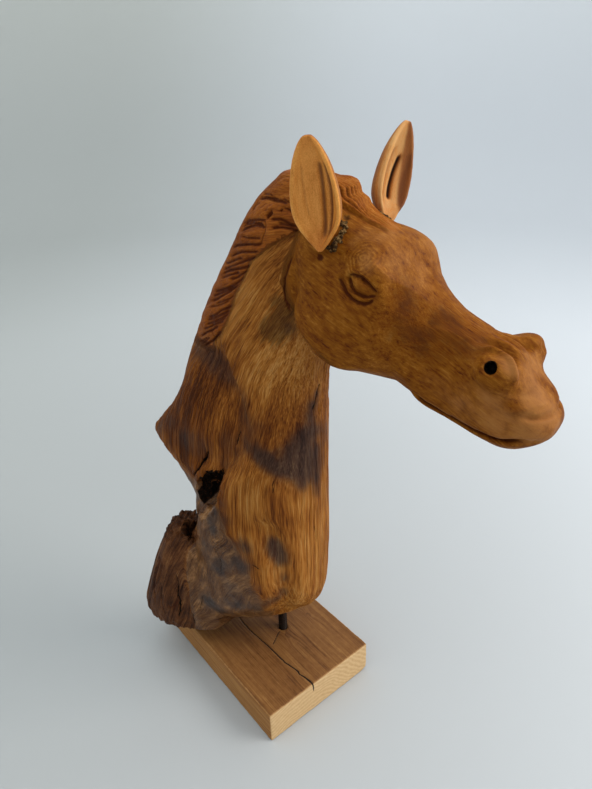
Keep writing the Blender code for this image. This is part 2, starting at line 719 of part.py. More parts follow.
def build():
    clear_scene()
    parts = new_collection("carved_horse_head")
    cutters = new_collection("cutters")
    wood = make_material("carved_wood", (0.30, 0.13, 0.05), 0.55)
    ear_wood = make_material("ear_wood", (0.45, 0.22, 0.09), 0.60)
    board_wood = make_material("board_wood", (0.28, 0.15, 0.06), 0.65)
    steel = make_material("dark_steel", (0.05, 0.045, 0.04), 0.5, 0.9)
    foot = rod_place() + Vector((0, 0, BOARD_HEIGHT + ROD_SHOWN))
    build_horse(parts, cutters, wood, ear_wood, foot)
    build_rod(parts, steel)
    build_board(parts, cutters, board_wood)


build()
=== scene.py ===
"""Fine carving and finishes of a horse head on its rod and board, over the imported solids.

Metres, +Z up, and the horse faces +X. Places on the carving are in millimetres from where the
rod enters it: x forwards, y to the horse's left, z up.
"""

import math
import random
from collections import namedtuple
from itertools import product
from types import SimpleNamespace

import bmesh
import bpy
import numpy as np
from bpy.props import FloatProperty, FloatVectorProperty, IntProperty, PointerProperty
from mathutils import Matrix, Vector
from mathutils.bvhtree import BVHTree


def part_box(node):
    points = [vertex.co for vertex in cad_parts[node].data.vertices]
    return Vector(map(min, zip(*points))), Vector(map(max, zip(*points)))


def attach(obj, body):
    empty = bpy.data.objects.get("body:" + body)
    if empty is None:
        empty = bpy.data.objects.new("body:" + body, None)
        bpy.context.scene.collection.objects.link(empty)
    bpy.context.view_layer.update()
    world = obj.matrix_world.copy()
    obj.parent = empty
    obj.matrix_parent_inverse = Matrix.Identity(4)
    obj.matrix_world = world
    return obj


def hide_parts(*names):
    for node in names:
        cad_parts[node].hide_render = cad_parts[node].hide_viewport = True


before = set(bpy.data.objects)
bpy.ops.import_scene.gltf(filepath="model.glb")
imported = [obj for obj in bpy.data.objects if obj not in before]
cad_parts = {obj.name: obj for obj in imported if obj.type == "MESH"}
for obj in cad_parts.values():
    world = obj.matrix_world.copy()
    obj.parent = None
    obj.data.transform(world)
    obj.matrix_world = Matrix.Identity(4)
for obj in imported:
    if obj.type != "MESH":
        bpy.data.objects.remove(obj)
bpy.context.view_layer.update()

bl_info = {
    "name": "Carved Horse Head",
    "version": (1, 0, 0),
    "blender": (4, 5, 0),
    "location": "3D View > Sidebar > Carving",
    "description": "Fine carving, wood finishes and studio of a carved horse head on its board",
    "category": "Object",
}

MM = 0.001
ROD_SHOWN = 0.020
ROD_LOW, ROD_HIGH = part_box("support_rod")
BOARD_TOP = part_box("base_board")[1].z
ROD_AXIS = (ROD_LOW + ROD_HIGH) / 2
CARVING_ORIGIN = Vector((ROD_AXIS.x, ROD_AXIS.y, BOARD_TOP + ROD_SHOWN))
BOARD_TURN = math.radians(-12.0)
BOARD_HALF = (100.0, 66.0)

# Corners of a solid closer than this are one, and edges that bend more than this stay sharp
SAME_PLACE = 1e-6
SHARP_ANGLE = math.radians(50)
# Rounds of smoothing on each skin, and the most triangles that it keeps
HORSE_ROUNDS, EAR_ROUNDS, BOARD_ROUNDS, PASTE_ROUNDS = 10, 6, 1, 1
EAR_TRIANGLES, BOARD_TRIANGLES, PASTE_TRIANGLES = 40000, 150000, 20000
# Least gap between a visual piece and the box that holds it
INSET = 2e-7
# Size of the noise that frays the edges of patches, in millimetres
PATCH_NOISE = 14

# A carved line: its points, half width and depth in millimetres, and how dark the painted shade at its
# bottom is
Cut = namedtuple("Cut", "path half_width depth dark")

# Front edge of the mane: height z and x
MANE_FRONT = [(327, -29), (337, -16), (347, -9), (356, -5), (365, -1), (373, 2), (382, 8), (393, 14),
              (402, 19), (411, 32), (416, 39), (423, 52), (427, 60), (440, 84)]
# Height at which the mane begins, and how steeply its hairs rise towards the face at each height
MANE_FOOT = (316, 322)
MANE_SLOPES = [(314, 0.65), (340, 0.55), (370, 0.45), (400, 0.38), (425, 0.22), (445, 0.0)]
# Back edge of the cheek: height z and x
CHEEK_BACK = [(340, 96), (346, 90), (358, 71), (368, 60), (380, 54), (392, 51), (404, 53), (416, 60),
              (432, 66)]
# How far the trunk's grain has leaned forwards at each height, and how far the head's grain runs
# down and forwards
LEAN = [(0, 0), (200, 0), (240, 4), (270, 9), (300, 17), (320, 26), (340, 37), (360, 51), (380, 68),
        (400, 86), (420, 108), (440, 132)]
HEAD_GRAIN = (0.43, 0.90)

# Depth of the strongest cut between hairs, and half widths of the weakest and the strongest
MANE_DEPTH = 2.0
MANE_HALF_WIDTHS = (0.75, 1.25)
# These cuts seen from the side: strength from 0 to 1, and points
MANE_CUTS = [
    (0.4, [(20, 449), (30, 450), (35, 449)]),
    (1.0, [(15, 445), (26, 447), (35, 447), (46, 447), (54, 445)]),
    (0.4, [(46, 449), (56, 446)]),
    (0.4, [(48, 443), (60, 440)]),
    (0.7, [(-1, 425), (7, 429), (21, 432), (33, 433)]),
    (0.9, [(-2, 423), (4, 426), (15, 429), (31, 430)]),
    (1.0, [(-3, 420), (3, 422), (13, 426), (22, 428), (34, 428)]),
    (1.0, [(36, 434), (47, 435), (54, 433), (66, 431)]),
    (1.0, [(38, 428.5), (48, 430), (58, 429), (66, 427)]),
    (0.6, [(44, 432.3), (53, 432), (64, 430)]),
    (0.4, [(2, 417), (15, 418), (30, 420)]),
    (1.0, [(-15, 405), (-3, 410), (12, 413), (25, 415), (33, 417.5)]),
    (0.8, [(-17, 398), (-5, 403), (6, 407), (20, 409), (30, 411)]),
    (0.6, [(-26, 391), (-16, 394), (-3, 399), (9, 403)]),
    (1.0, [(-27, 386), (-10, 393), (3, 398), (16, 403), (27, 407)]),
    (1.0, [(-26, 383), (-12, 389), (4, 394), (17, 398), (24, 401)]),
    (0.6, [(-26, 380), (-8, 387), (7, 392)]),
    (0.7, [(-8, 383), (2, 387), (11, 392), (18, 396)]),
    (0.9, [(-36, 367), (-19, 373), (-5, 379), (2, 383), (7, 386), (14, 391)]),
    (1.0, [(-37, 363), (-25, 368), (-10, 375), (0, 379), (8, 384)]),
    (1.0, [(-37, 359), (-26, 364), (-15, 370), (-6, 375), (3, 381)]),
    (0.5, [(-28, 360), (-15, 365), (-6, 369), (2, 374)]),
    (0.4, [(-38, 354), (-24, 359), (-10, 365), (-3, 369)]),
    (1.0, [(-41, 345), (-26, 351), (-16, 358), (-8, 361), (0, 366)]),
    (1.0, [(-42, 342), (-26, 349), (-14, 355), (-3, 361)]),
    (0.9, [(-43, 338), (-26, 346), (-14, 352), (-4, 358)]),
    (0.6, [(-34, 340), (-18, 348), (-7, 354)]),
    (0.7, [(-48, 332), (-32, 340), (-17, 347), (-9, 351)]),
    (0.9, [(-56, 323), (-42, 331), (-32, 336), (-17, 345)]),
    (0.7, [(-58, 317), (-49, 322), (-39, 328)]),
    (0.7, [(-53, 317), (-43, 323), (-34, 330)]),
    (1.0, [(-57, 313), (-47, 317), (-38, 323), (-29, 328), (-19, 337), (-12, 343)]),
]
MANE_KNOTS = [
    Cut([(32, 434.5), (35, 437), (38.5, 439.5)], 1.7, 2.4, 1.0),
    Cut([(46, 440), (48, 442)], 1.2, 1.0, 0.8),
    Cut([(30, 434), (33, 430), (33, 425), (30, 419), (29, 416)], 0.7, 0.8, 0.7),
    Cut([(10, 436), (14, 441), (20, 443)], 1.4, 0.8, 0.5),
]

# Lines on the head, seen from the side
EYE_CUTS = [
    Cut([(112, 406), (117, 408), (123, 408), (130, 404), (135.5, 398)], 1.05, 1.9, 1.0),
    Cut([(112, 406), (116.5, 400), (120, 397.3), (125, 396), (130, 396), (135.5, 397.5)], 0.95, 1.7, 1.0),
    Cut([(103.5, 405.5), (108.5, 400.5), (112.5, 396), (117, 392.7), (122, 391), (127, 390.7),
         (131, 392), (134.5, 396)], 1.1, 1.8, 1.0),
]
MOUTH = Cut([(155, 326), (160, 321.5), (168, 317.5), (179, 314), (190, 311.5), (201, 310.3),
             (211, 310.5), (221, 311), (228, 312), (235, 313.5)], 1.2, 2.6, 1.0)
LIP_EDGE = [(160, 325), (170, 320), (190, 314.5), (211, 313.5), (228, 315)]
# Middle and half size of the eyeball, seen from the side
EYEBALL = (124, 401.5)
EYEBALL_HALF = (8.0, 4.6)
# Small features in space, on the right side but for the last
BROW_KNOT = (121, -35, 419)
LIP_NOTCH = (240, -17, 313)
EAR_PIT = (96, -17, 439)
EAR_NOTCH = (88, -36.5, 415)
FAR_NOSTRIL = (227, 23, 362)

# Folds round the nostrils and the lip, for the right side: points in space, half width and height
FOLDS = [
    ([(196, -21, 364), (199, -17, 367), (204, -14.5, 367.5), (210, -15, 367), (217, -18, 365),
      (222, -23, 362), (225, -27, 356), (224, -29, 350)], 1.8, 3.0),
    ([(192, -17, 369), (196, -13, 371), (200, -10, 371), (205, -8, 369.5), (211, -8, 367.5),
      (218, -10, 364), (225, -17, 361), (228, -20, 353), (226, -22, 348)], 2.2, -3.0),
    ([(198, -3, 373), (205, -4, 371), (210, -4, 369), (216, -4, 367), (221, -3, 362), (226, -1, 356)],
     2.4, 1.6),
    ([(222, -28, 350), (228, -21, 346), (232, -16, 346), (234, -8, 347)], 3.4, -1.0),
    ([(216, -29, 333), (226, -26, 335), (234, -22, 338), (241, -11, 339), (245, -2, 337)], 2.6, 1.3),
    ([(232, -22, 335), (239, -17, 334), (241, -13, 334.5), (244, -8, 335), (245, 0, 334.5)], 1.6, 1.0),
    ([(230, -24, 331), (238, -20, 331), (242, -16, 331), (245, -10, 331), (246, -1, 331)], 1.6, -1.9),
    ([(199, -25, 351), (205, -28, 348), (214, -30, 346)], 2.6, -0.6),
]
# A point on the near nostril's axis, the way that it runs outwards, and the soft edge of the painted shade
# inside it
NOSTRIL_AXIS = ((210.5, -31, 362), (0.15, -0.95, 0.28))
NOSTRIL_EDGE = (4.0, 5.2)

# Half width of the forelock along x, and how many strands lie across that half
FORELOCK_WIDTHS = [(30, 16), (50, 19), (66, 18), (84, 14), (91, 12.5), (104, 8.5), (115, 7.5),
                   (124, 7.5), (130, 4)]
FORELOCK_STRANDS = 4.5
# The step below the top of the forelock that hair fills: x and z, how wide and how deep
STEP_PLACE = (97, 449)
STEP_WIDTH = 5.0
STEP_FILL = 2.6
# Corners at the ears' feet that hold glue, and how many lumps lie along each stretch of them
PASTE_LINES = {
    "right_ear": [(96, -20, 437), (98, -21.5, 434), (98.5, -25, 430.5), (98.5, -28, 426.5),
                  (96.5, -31, 423), (94.5, -33, 420.5)],
    "left_ear": [(98, 21.5, 434), (104, 15, 436), (109, 12, 435.5), (113, 15, 433)],
}
LUMPS_A_STRETCH = 13
# Limits of a lump's radius, its stretch along each axis, its way from the corner and its lift
LUMP_RADII = (0.7, 1.5)
LUMP_STRETCH = (0.7, 1.3)
LUMP_SPREAD = (-2.3, 1.9)
LUMP_LIFT = (-0.4, 0.9)
PASTE_VOXEL = 0.0004

# Cracks seen from the right, the gap behind the cheek, and cracks seen from the front
CRACKS = [
    Cut([(1, 253), (-1, 245), (-4, 237)], 0.5, 2.0, 0.9),
    Cut([(-36, 222), (-41, 213), (-47, 203), (-54, 193), (-61, 183)], 1.0, 3.6, 1.0),
    Cut([(41, 221), (40, 213), (40, 205)], 0.4, 1.0, 0.6),
    Cut([(-18, 134), (-14, 125), (-12, 118), (-14, 108), (-13, 100)], 0.45, 1.2, 0.7),
    Cut([(20, 125), (24, 123.5), (28, 121)], 0.5, 1.0, 0.7),
    Cut([(-73, 78), (-71, 65), (-72, 51), (-71, 31), (-74, 14)], 0.6, 2.2, 0.8),
    Cut([(-42, 60), (-46, 48), (-50, 34)], 0.6, 1.4, 0.6),
    Cut([(-58, 28), (-60, 18), (-59, 8)], 0.8, 1.8, 0.8),
    Cut([(-97, 80), (-101, 58), (-100, 30)], 0.5, 1.6, 0.6),
    Cut([(-88, 62), (-90, 40), (-87, 18)], 0.5, 1.4, 0.6),
    Cut([(-112, 50), (-116, 34), (-114, 16)], 0.5, 1.4, 0.6),
    Cut([(-42, 134), (-54, 118), (-62, 106), (-63, 96), (-62, 84), (-58, 61), (-61, 30), (-60, 12)],
        1.8, 1.3, 0.25),
    Cut([(-30, 338), (-24, 330), (-22, 318)], 0.6, 0.8, 0.5),
]
CHEEK_GAP = [Cut([(60, 412), (55, 402), (52, 392), (50.5, 384), (52, 376), (55, 366)], 1.2, 1.0, 0.9)]
FRONT_CRACKS = [
    Cut([(-2, 301), (-6, 293), (-9, 284), (-12, 276)], 0.45, 1.4, 0.9),
    Cut([(8, 226), (9, 208), (6, 190)], 0.5, 1.0, 0.6),
    Cut([(-14, 160), (-12, 138)], 0.5, 0.8, 0.5),
]

# Front edge of the torn root, and of the burl in front of it: height z and x
ROOT_EDGE = [(8, -60), (30, -61), (61, -58), (84, -62), (97, -63), (106, -62), (118, -54), (130, -42)]
BURL_FRONT = [(40, 22), (60, 28), (80, 27), (110, 22), (130, 15), (150, 3), (168, -12), (190, -22)]
# Heights over which the burl ends, and the middle, reach and spacing of its ripples
BURL_TOP = (172, 196)
BURL_EYE = (-13, -69, 146)
BURL_RIPPLES = (7, 20)
BURL_RIPPLE_GAP = 3.1

# Patches on the wood, some of them painted light and shade: a seed and the raggedness of their edges, then
# x, y, z, radius and strength
PATCHES = {
    "stain": (12, 0.30, [
        (60, -7, 292, 5, 0.8), (59, -12, 283, 6, 0.9), (58, -15, 272, 8, 1.0), (58, -17, 259, 9, 1.0),
        (57, -20, 248, 11, 1.0), (57, -21, 235, 12, 1.1), (57, -21, 223, 12, 1.1), (56, -23, 212, 9, 0.9),
        (60, -10, 239, 9, 1.0), (61, -10, 224, 10, 1.0), (60, -11, 209, 9, 0.9), (61, -10, 195, 6, 0.6),
        (55, -26, 225, 12, 1.0), (50, -32, 226, 10, 0.9), (46, -37, 227, 9, 0.8), (41, -41, 231, 9, 0.8),
        (35, -44, 235, 9, 0.8), (29, -44, 238, 9, 0.8), (23, -45, 241, 8, 0.7), (14, -46, 243, 8, 0.5),
        (54, -24, 253, 10, 0.6), (52, -27, 240, 11, 0.8), (47, -33, 236, 11, 0.7), (61, -5, 256, 8, 0.6),
        (25, -43, 267, 8, 0.35), (60, 8, 250, 14, 0.5), (-57, -31, 314, 12, 0.5), (-43, -33, 311, 14, 0.5),
        (-30, -34, 310, 14, 0.4), (-18, -34, 305, 13, 0.4), (-8, -35, 299, 12, 0.35),
        (4, -42, 292, 10, 0.35), (11, -44, 285, 8, 0.5), (11, -42, 272, 8, 0.5), (5, -42, 262, 8, 0.4),
        (-116, -39, 219, 12, 0.6), (-93, -43, 234, 12, 0.5), (-66, -49, 224, 14, 0.6),
        (-44, -50, 226, 14, 0.5), (-10, -44, 241, 10, 0.4), (-5, -44, 227, 10, 0.45),
        (-17, -46, 213, 10, 0.5), (7, -42, 246, 9, 0.5), (18, -45, 259, 8, 0.4), (36, -44, 145, 9, 1.0),
        (39, -42, 137, 9, 1.0), (39, -41, 125, 8, 0.9), (41, -39, 106, 6, 0.7), (38, -39, 87, 7, 0.7),
        (34, -45, 77, 8, 0.7), (29, -53, 73, 8, 0.8), (18, -58, 67, 8, 0.8), (3, -64, 66, 9, 0.7),
        (-9, -68, 67, 9, 0.7), (-22, -67, 160, 8, 0.9), (-17, -69, 153, 8, 0.9), (-31, -70, 129, 9, 0.5),
        (-4, -64, 168, 8, 0.6), (-17, -64, 171, 7, 0.8), (-9, -62, 182, 7, 0.5), (11, -62, 145, 9, 0.7),
        (15, -60, 143, 8, 0.7), (12, -63, 118, 11, 0.8), (6, -64, 126, 10, 0.6), (-19, -68, 104, 11, 0.9),
        (-11, -68, 114, 10, 0.7), (-2, -67, 89, 10, 0.6), (-26, -67, 44, 10, 1.0), (-31, -71, 53, 10, 0.9),
        (-38, -72, 57, 9, 0.7), (-8, -64, 190, 7, 0.4), (52, -29, 354, 9, 0.5), (-40, 38, 300, 20, 0.7),
        (-80, 8, 230, 22, 0.6), (20, 48, 250, 20, 0.6), (-10, 48, 150, 24, 0.6), (30, 48, 120, 18, 0.6),
        (-70, -10, 60, 22, 0.6), (40, 40, 60, 16, 0.5), (60, 14, 180, 14, 0.4),
    ]),
    "smudge": (13, 0.55, [
        (163, -25, 370, 10, 1.0), (157, -26, 377, 9, 0.9), (166, -18, 379, 9, 0.8),
        (161, -27, 364, 9, 0.9), (147, -32, 382, 10, 0.8), (148, -24, 398, 11, 0.6),
        (152, -22, 390, 9, 0.6), (168, -26, 356, 10, 0.5), (181, -19, 368, 10, 0.6),
        (192, -19, 364, 9, 0.5), (118, -43, 384, 10, 0.25), (218, -28, 341, 6, 0.5),
        (227, -25, 335, 7, 0.7), (237, -23, 327, 6, 0.6), (208, -28, 344, 7, 0.4), (196, -26, 352, 8, 0.4),
        (163, 25, 370, 12, 0.6), (120, 44, 384, 12, 0.3), (176, -12, 382, 11, 0.7),
        (186, -14, 376, 10, 0.7), (194, -10, 374, 9, 0.5), (172, -20, 374, 9, 0.5),
        (160, -12, 392, 9, 0.4),
    ]),
    "olive": (14, 0.45, [
        (45, -33, 376, 8, 0.6), (48, -32, 366, 9, 0.8), (50, -31, 357, 9, 0.9), (42, -34, 356, 9, 0.8),
        (33, -36, 351, 8, 0.6), (40, -34, 346, 9, 0.6), (45, 33, 366, 10, 0.6),
    ]),
    # Partly paler wood, partly painted sheen and highlights on the brow, the muzzle and the lips
    "pale": (15, 0.35, [
        (121, -35, 419, 7, 0.3), (126, -38, 416, 7, 0.35), (132, -38, 412, 7, 0.3),
        (138, -29, 412, 8, 0.3), (125, -21, 428, 15, 0.3), (110, -22, 430, 12, 0.25),
        (137, -16, 422, 16, 0.3), (144, -7, 413, 13, 0.3), (140, 13, 420, 16, 0.3),
        (121, 4, 433, 16, 0.25), (154, -4, 398, 12, 0.2), (169, -26, 341, 10, 0.25),
        (184, -26, 334, 11, 0.35), (198, -28, 331, 12, 0.4), (212, -28, 328, 12, 0.4),
        (200, -24, 358, 7, 0.3), (240, -18, 318, 9, 0.6), (226, 3, 355, 12, 0.7), (232, -12, 346, 12, 0.8),
        (238, -14, 339, 11, 0.8), (244, -10, 328, 12, 0.8), (238, -20, 329, 10, 0.6),
        (232, -25, 322, 10, 0.5), (221, -27, 318, 9, 0.4), (217, -19, 364, 7, 0.7),
        (223, -24, 360, 6, 0.8), (206, -28, 338, 14, 0.35), (218, -28, 338, 10, 0.4),
        (140, 30, 412, 14, 0.5),
    ]),
    # Partly golden wood, partly painted light on the front column and the lobe tops that face the light
    "gold": (16, 0.30, [
        (60, -10, 330, 26, 1.0), (50, -25, 318, 24, 0.8), (25, -44, 305, 26, 0.6), (40, -38, 325, 22, 0.6),
        (5, -42, 335, 26, 0.4), (22, -35, 368, 24, 0.6), (57, -18, 185, 18, 1.0), (60, -10, 160, 20, 1.0),
        (58, -16, 130, 24, 1.0), (58, -20, 95, 26, 1.0), (55, -25, 60, 24, 1.0), (50, -30, 30, 22, 0.9),
        (10, -55, 205, 20, 0.7), (25, -50, 218, 18, 0.8), (22, -52, 190, 18, 0.6), (20, -56, 150, 14, 0.6),
        (28, -54, 110, 14, 0.6), (60, 20, 120, 40, 0.8), (55, 25, 330, 30, 0.7),
    ]),
    # Painted shade on the trunk's back left, which faces away from the light
    "dim": (17, 0.30, [
        (-70, -40, 270, 34, 1.0), (-40, -42, 255, 28, 0.8), (-95, -40, 240, 30, 1.0),
        (-70, -44, 235, 30, 1.0), (-60, -44, 215, 26, 0.9), (-20, -42, 245, 24, 0.5),
        (-30, -38, 290, 30, 0.6), (-60, 30, 250, 50, 0.7),
    ]),
}
# Hollows: centre, radii, pitch in degrees, how dark their painted shade is, and the height of their torn
# rim
HOLLOWS = [((-36, -60, 178), (17, 28, 32), 34, 1.0, 0.0), ((-69, -56, 118), (8, 8, 14), 0, 0.55, 3.2)]

# Where each ear stands: foot, tip, and the way its scoop faces in degrees from +X
EARS = {
    "right_ear": ((92, -42, 419), (95, -57, 493), -73.0),
    "left_ear": ((97, 35, 422), (99, 57, 496), -10.0),
}
# Inner border of the dark band on the left ear: across the ear at each height
EAR_BAND = [(0, -6.5), (10, -9), (25, -9.8), (45, -7.8), (60, -4.5), (72, -1)]
# Lines in the scoops: across the ear and up it
EAR_CUTS = {
    "right_ear": [
        Cut([(-3.2, 60), (-3.0, 48), (-2.7, 39), (-2.2, 26), (-2.4, 14), (-1.8, 7)], 1.7, 1.4, 0.62),
        Cut([(-6.0, 60), (-7.2, 48), (-7.8, 39), (-7.2, 26), (-5.6, 14), (-2.6, 8)], 1.2, 1.4, 0.66),
        Cut([(6.5, 60), (8.0, 46), (8.0, 32), (6.5, 20)], 1.0, 0.3, 0.3),
    ],
    "left_ear": [
        Cut([(-5.0, 54), (-4.4, 48), (-3.9, 40), (-3.8, 30), (-4.4, 20)], 1.35, 2.8, 1.0),
        Cut([(-9.6, 58), (-10.8, 50), (-11.3, 41), (-11.6, 30), (-11.0, 16), (-8, 8)], 2.6, 0.5, 0.50),
        Cut([(0.5, 60), (1.6, 46), (1.2, 30), (-0.5, 16)], 1.4, 0.7, 0.38),
        Cut([(7.5, 56), (8.5, 44), (8.0, 30), (6.0, 18)], 1.2, 0.5, 0.30),
    ],
}

# The board's crack and knots: millimetres forwards and to the left of its middle
BOARD_CRACK = [(101, -10.6), (88.3, -11.8), (82.2, -13.4), (78.1, -12.7), (72.6, -13.5), (60.7, -16.0),
               (40.3, -16.3), (21.8, -17.4), (1.9, -19.3), (-17.7, -18.0), (-48.0, -17.0)]
BOARD_SPLIT = Cut([(23.9, 5.9), (31.1, -6.6), (35.0, -12.3)], 0.6, 0.6, 0.8)
BOARD_KNOTS = [((27.9, 43.3), 4.4), ((35.2, 8.3), 4.2)]


def linear(red, green, blue):
    """A colour for the renderer from its screen values up to 255."""
    return tuple(((value / 255 + 0.055) / 1.055) ** 2.4 for value in (red, green, blue))


# Screen colours of each kind of wood, evenly spaced from its dark grain to its light grain
WOODS = {
    "trunk": [(70, 33, 9), (104, 54, 16), (136, 78, 26), (164, 104, 42), (186, 130, 68)],
    "head": [(76, 32, 4), (114, 60, 8), (136, 80, 17), (160, 104, 38)],
    "mane": [(80, 34, 7), (128, 64, 16), (156, 88, 28), (182, 118, 50)],
    "root": [(42, 20, 9), (76, 42, 20), (104, 62, 32), (136, 92, 54)],
    "burl": [(34, 22, 14), (82, 53, 31), (116, 79, 47), (162, 118, 74)],
    "stain": [(20, 14, 14), (42, 31, 29), (68, 51, 43), (112, 84, 62)],
    "ear": [(170, 94, 28), (208, 134, 56), (228, 156, 74), (240, 174, 94)],
    # Darker wood of the ears' backs, partly painted shade
    "ear back": [(112, 54, 14), (146, 84, 32), (168, 108, 50), (184, 128, 68)],
    "board top": [(80, 44, 16), (112, 70, 32), (132, 88, 44), (152, 108, 60)],
    "board side": [(112, 66, 24), (148, 96, 42), (168, 118, 60), (188, 138, 80)],
    # End grain, painted lighter, partly as the light on the end that faces the window
    "board end": [(156, 114, 70), (198, 156, 105), (218, 182, 133), (232, 200, 155)],
}
# Colours laid over the wood, and those of the glue and the rust
STRIP_COLOUR = linear(158, 98, 40)
OLIVE_COLOUR = linear(58, 42, 18)
SMUDGE_COLOUR = linear(74, 32, 8)
PALE_SHEEN_COLOUR = linear(168, 112, 62)
# Fibres that show through the painted shade in the hollows
HOLLOW_FIBRE_COLOUR = linear(58, 32, 16)
# Greyer wood of the far ear's open side, lightened as painted light
GREY_LIT_EAR_COLOUR = linear(206, 160, 104)
GLUE_COLOUR = linear(58, 38, 16)
SAWDUST_COLOUR = linear(142, 108, 62)
GLUE_GAP_COLOUR = linear(44, 24, 8)
RUST_COLOUR = linear(54, 28, 12)
WORN_COLOUR = linear(186, 140, 88)
KNOT_COLOUR = linear(74, 38, 20)
UNDER_SHADOW_TINT = linear(150, 130, 118)

# Noises of the finishes: scale along each axis of the grain, which is in millimetres, and character
Noise = namedtuple("Noise", "scale detail roughness distortion offset",
                   defaults=(2.0, 0.5, 0.0, (0.0, 0.0, 0.0)))
HORSE_NOISES = {
    "warp": Noise((0.030, 0.030, 0.008)),
    "broad": Noise((0.045, 0.045, 0.014), 3.0, distortion=0.5),
    "streak": Noise((0.24, 0.24, 0.006), 1.5),
    "fibre": Noise((0.72, 0.72, 0.018), 1.0),
    "hair": Noise((1.8, 1.8, 0.050), 1.0),
    "split": Noise((0.95, 0.95, 0.024), 1.0, offset=(7.0, 3.0, 5.0)),
    "crumble": Noise((0.5, 0.5, 0.3), 5.0, 0.7),
    "cloud": Noise((0.10, 0.10, 0.06), 4.0, 0.6),
    "mottle": Noise((0.30, 0.30, 0.14), 3.0, 0.65),
    "pores": Noise((3.4, 3.4, 0.30), 1.0),
}
EAR_NOISES = {
    "fibre": Noise((0.8, 0.8, 0.035), 4.0, 0.6, 0.3),
    "thread": Noise((3.0, 3.0, 0.16)),
    "broad": Noise((0.10, 0.10, 0.035), 3.0, distortion=0.5),
    "fleck": Noise((1.7, 1.7, 1.1), 3.0, 0.6),
}
BOARD_NOISES = {
    "warp": Noise((0.006, 0.022, 0.022)),
    "band": Noise((0.006, 0.20, 0.20), 3.0, distortion=0.2),
    "fibre": Noise((0.020, 0.75, 0.75), 4.0, distortion=0.3),
    "thread": Noise((0.07, 2.4, 2.4), 3.0),
    "broad": Noise((0.018, 0.03, 0.03), 4.0),
    "spot": Noise((0.16, 0.22, 0.22), 4.0, 0.65),
}
# Millimetres between the year rings of the trunk, of the whirl on the brow, and of the board
TRUNK_RING_GAP, BROW_RING_GAP, BOARD_RING_GAP = 5.2, 2.6, 4.6
# Distance from the brow's knot that its mark gives as 1
BROW_REACH = 40.0

THREAD_SIDES = 32
THREAD_STEPS_A_TURN = 6
# Depth of the thread and steepness of its flanks, as shares of the pitch
THREAD_DEPTH = 0.55
THREAD_FLANK = 1.25
THREAD_SHARP_ANGLE = math.radians(35)

# Rings of the flat floor, the bend at its edge, and the wall's reach and top, all in metres
FLOOR_SIDES = 64
FLOOR_RINGS = (0.8, 1.6, 2.4)
BEND_RADIUS = 1.4
BEND_STEPS = 12
WALL_REACH, WALL_TOP = 3.8, 2.6

CAMERA_PLACE = (0.3577, -0.3555, 0.5766)
CAMERA_RIGHT = (0.7792, 0.6258, -0.0349)
CAMERA_FORWARD = (-0.5709, 0.6858, -0.4513)
CAMERA_LENS = 27.82
CAMERA_SENSOR = 36.0

SKY_COLOUR = (0.91, 0.97, 1.0)
SKY_STRENGTH = 0.93
# Round lights that look at one place: name, place, size, power and colour
LIGHT_AIM = (0.06, 0.0, 0.28)
LIGHTS = [
    ("window", (1.35, 0.65, 1.25), 1.1, 20.0, (1.0, 0.98, 0.95)),
    ("ceiling", (-0.2, -0.2, 2.3), 2.0, 7.0, (0.94, 0.97, 1.0)),
    ("fill", (-0.9, -1.3, 0.8), 1.4, 2.0, (0.93, 0.97, 1.0)),
]


def ramp(value, low, high):
    """Smooth step from 0 at low to 1 at high."""
    share = np.clip((value - low) / (high - low), 0.0, 1.0)
    return share * share * (3 - 2 * share)


def bell(value, width):
    """1 at 0, and next to nothing beyond twice the width."""
    return np.exp(-(value / width) ** 2)


def read_off(table, value):
    """What a table gives at each value, straight between its rows."""
    return np.interp(value, *zip(*table))


def distance_from(points, centre):
    """Distance of each point from one place, or from its own."""
    return np.linalg.norm(points - np.array(centre), axis=1)


class Lattice:
    """Smooth noise on a grid of random slopes."""

    def __init__(self, seed):
        source = np.random.default_rng(seed)
        self.order = np.tile(source.permutation(256), 2)
        slopes = source.normal(size=(256, 3))
        self.slopes = slopes / np.linalg.norm(slopes, axis=1)[:, None]

    def at(self, points):
        """Noise from about -1 to 1 at each point."""
        cell = np.floor(points).astype(int)
        local = points - cell
        cell &= 255
        fade = local ** 3 * (local * (local * 6 - 15) + 10)
        total = np.zeros(len(points))
        for corner in product((0, 1), repeat=3):
            step = (cell + corner) & 255
            index = self.order[self.order[self.order[step[:, 0]] + step[:, 1]] + step[:, 2]]
            away = local - corner
            weight = np.prod(np.where(corner, fade, 1 - fade), axis=1)
            total += weight * np.einsum("ij,ij->i", self.slopes[index], away)
        return 1.6 * total

    def cloud(self, points, octaves=3):
        """Several sizes of noise added up."""
        total = np.zeros(len(points))
        for level in range(octaves):
            total += self.at(points * 2.0 ** level + 17.3 * level) / 2.0 ** level
        return total


def noise(points, seed, size, octaves=3):
    """Smooth noise with features of that size, for all axes or for each."""
    return Lattice(seed).cloud(points / np.array(size, dtype=float), octaves)


def line_distance(points, path):
    """Distance of each point to a line, and the nearest place on the line from 0 to 1."""
    path = np.array(path, dtype=float)
    lengths = np.linalg.norm(np.diff(path, axis=0), axis=1)
    begins = np.concatenate(([0.0], np.cumsum(lengths)))
    nearest = np.full(len(points), np.inf)
    place = np.zeros(len(points))
    for start, end, begin, length in zip(path, path[1:], begins, lengths):
        along = end - start
        share = np.clip((points - start) @ along / length ** 2, 0.0, 1.0)
        distance = np.linalg.norm(points - start - share[:, None] * along, axis=1)
        closer = distance < nearest
        nearest[closer] = distance[closer]
        place[closer] = (begin + share[closer] * length) / begins[-1]
    return nearest, place


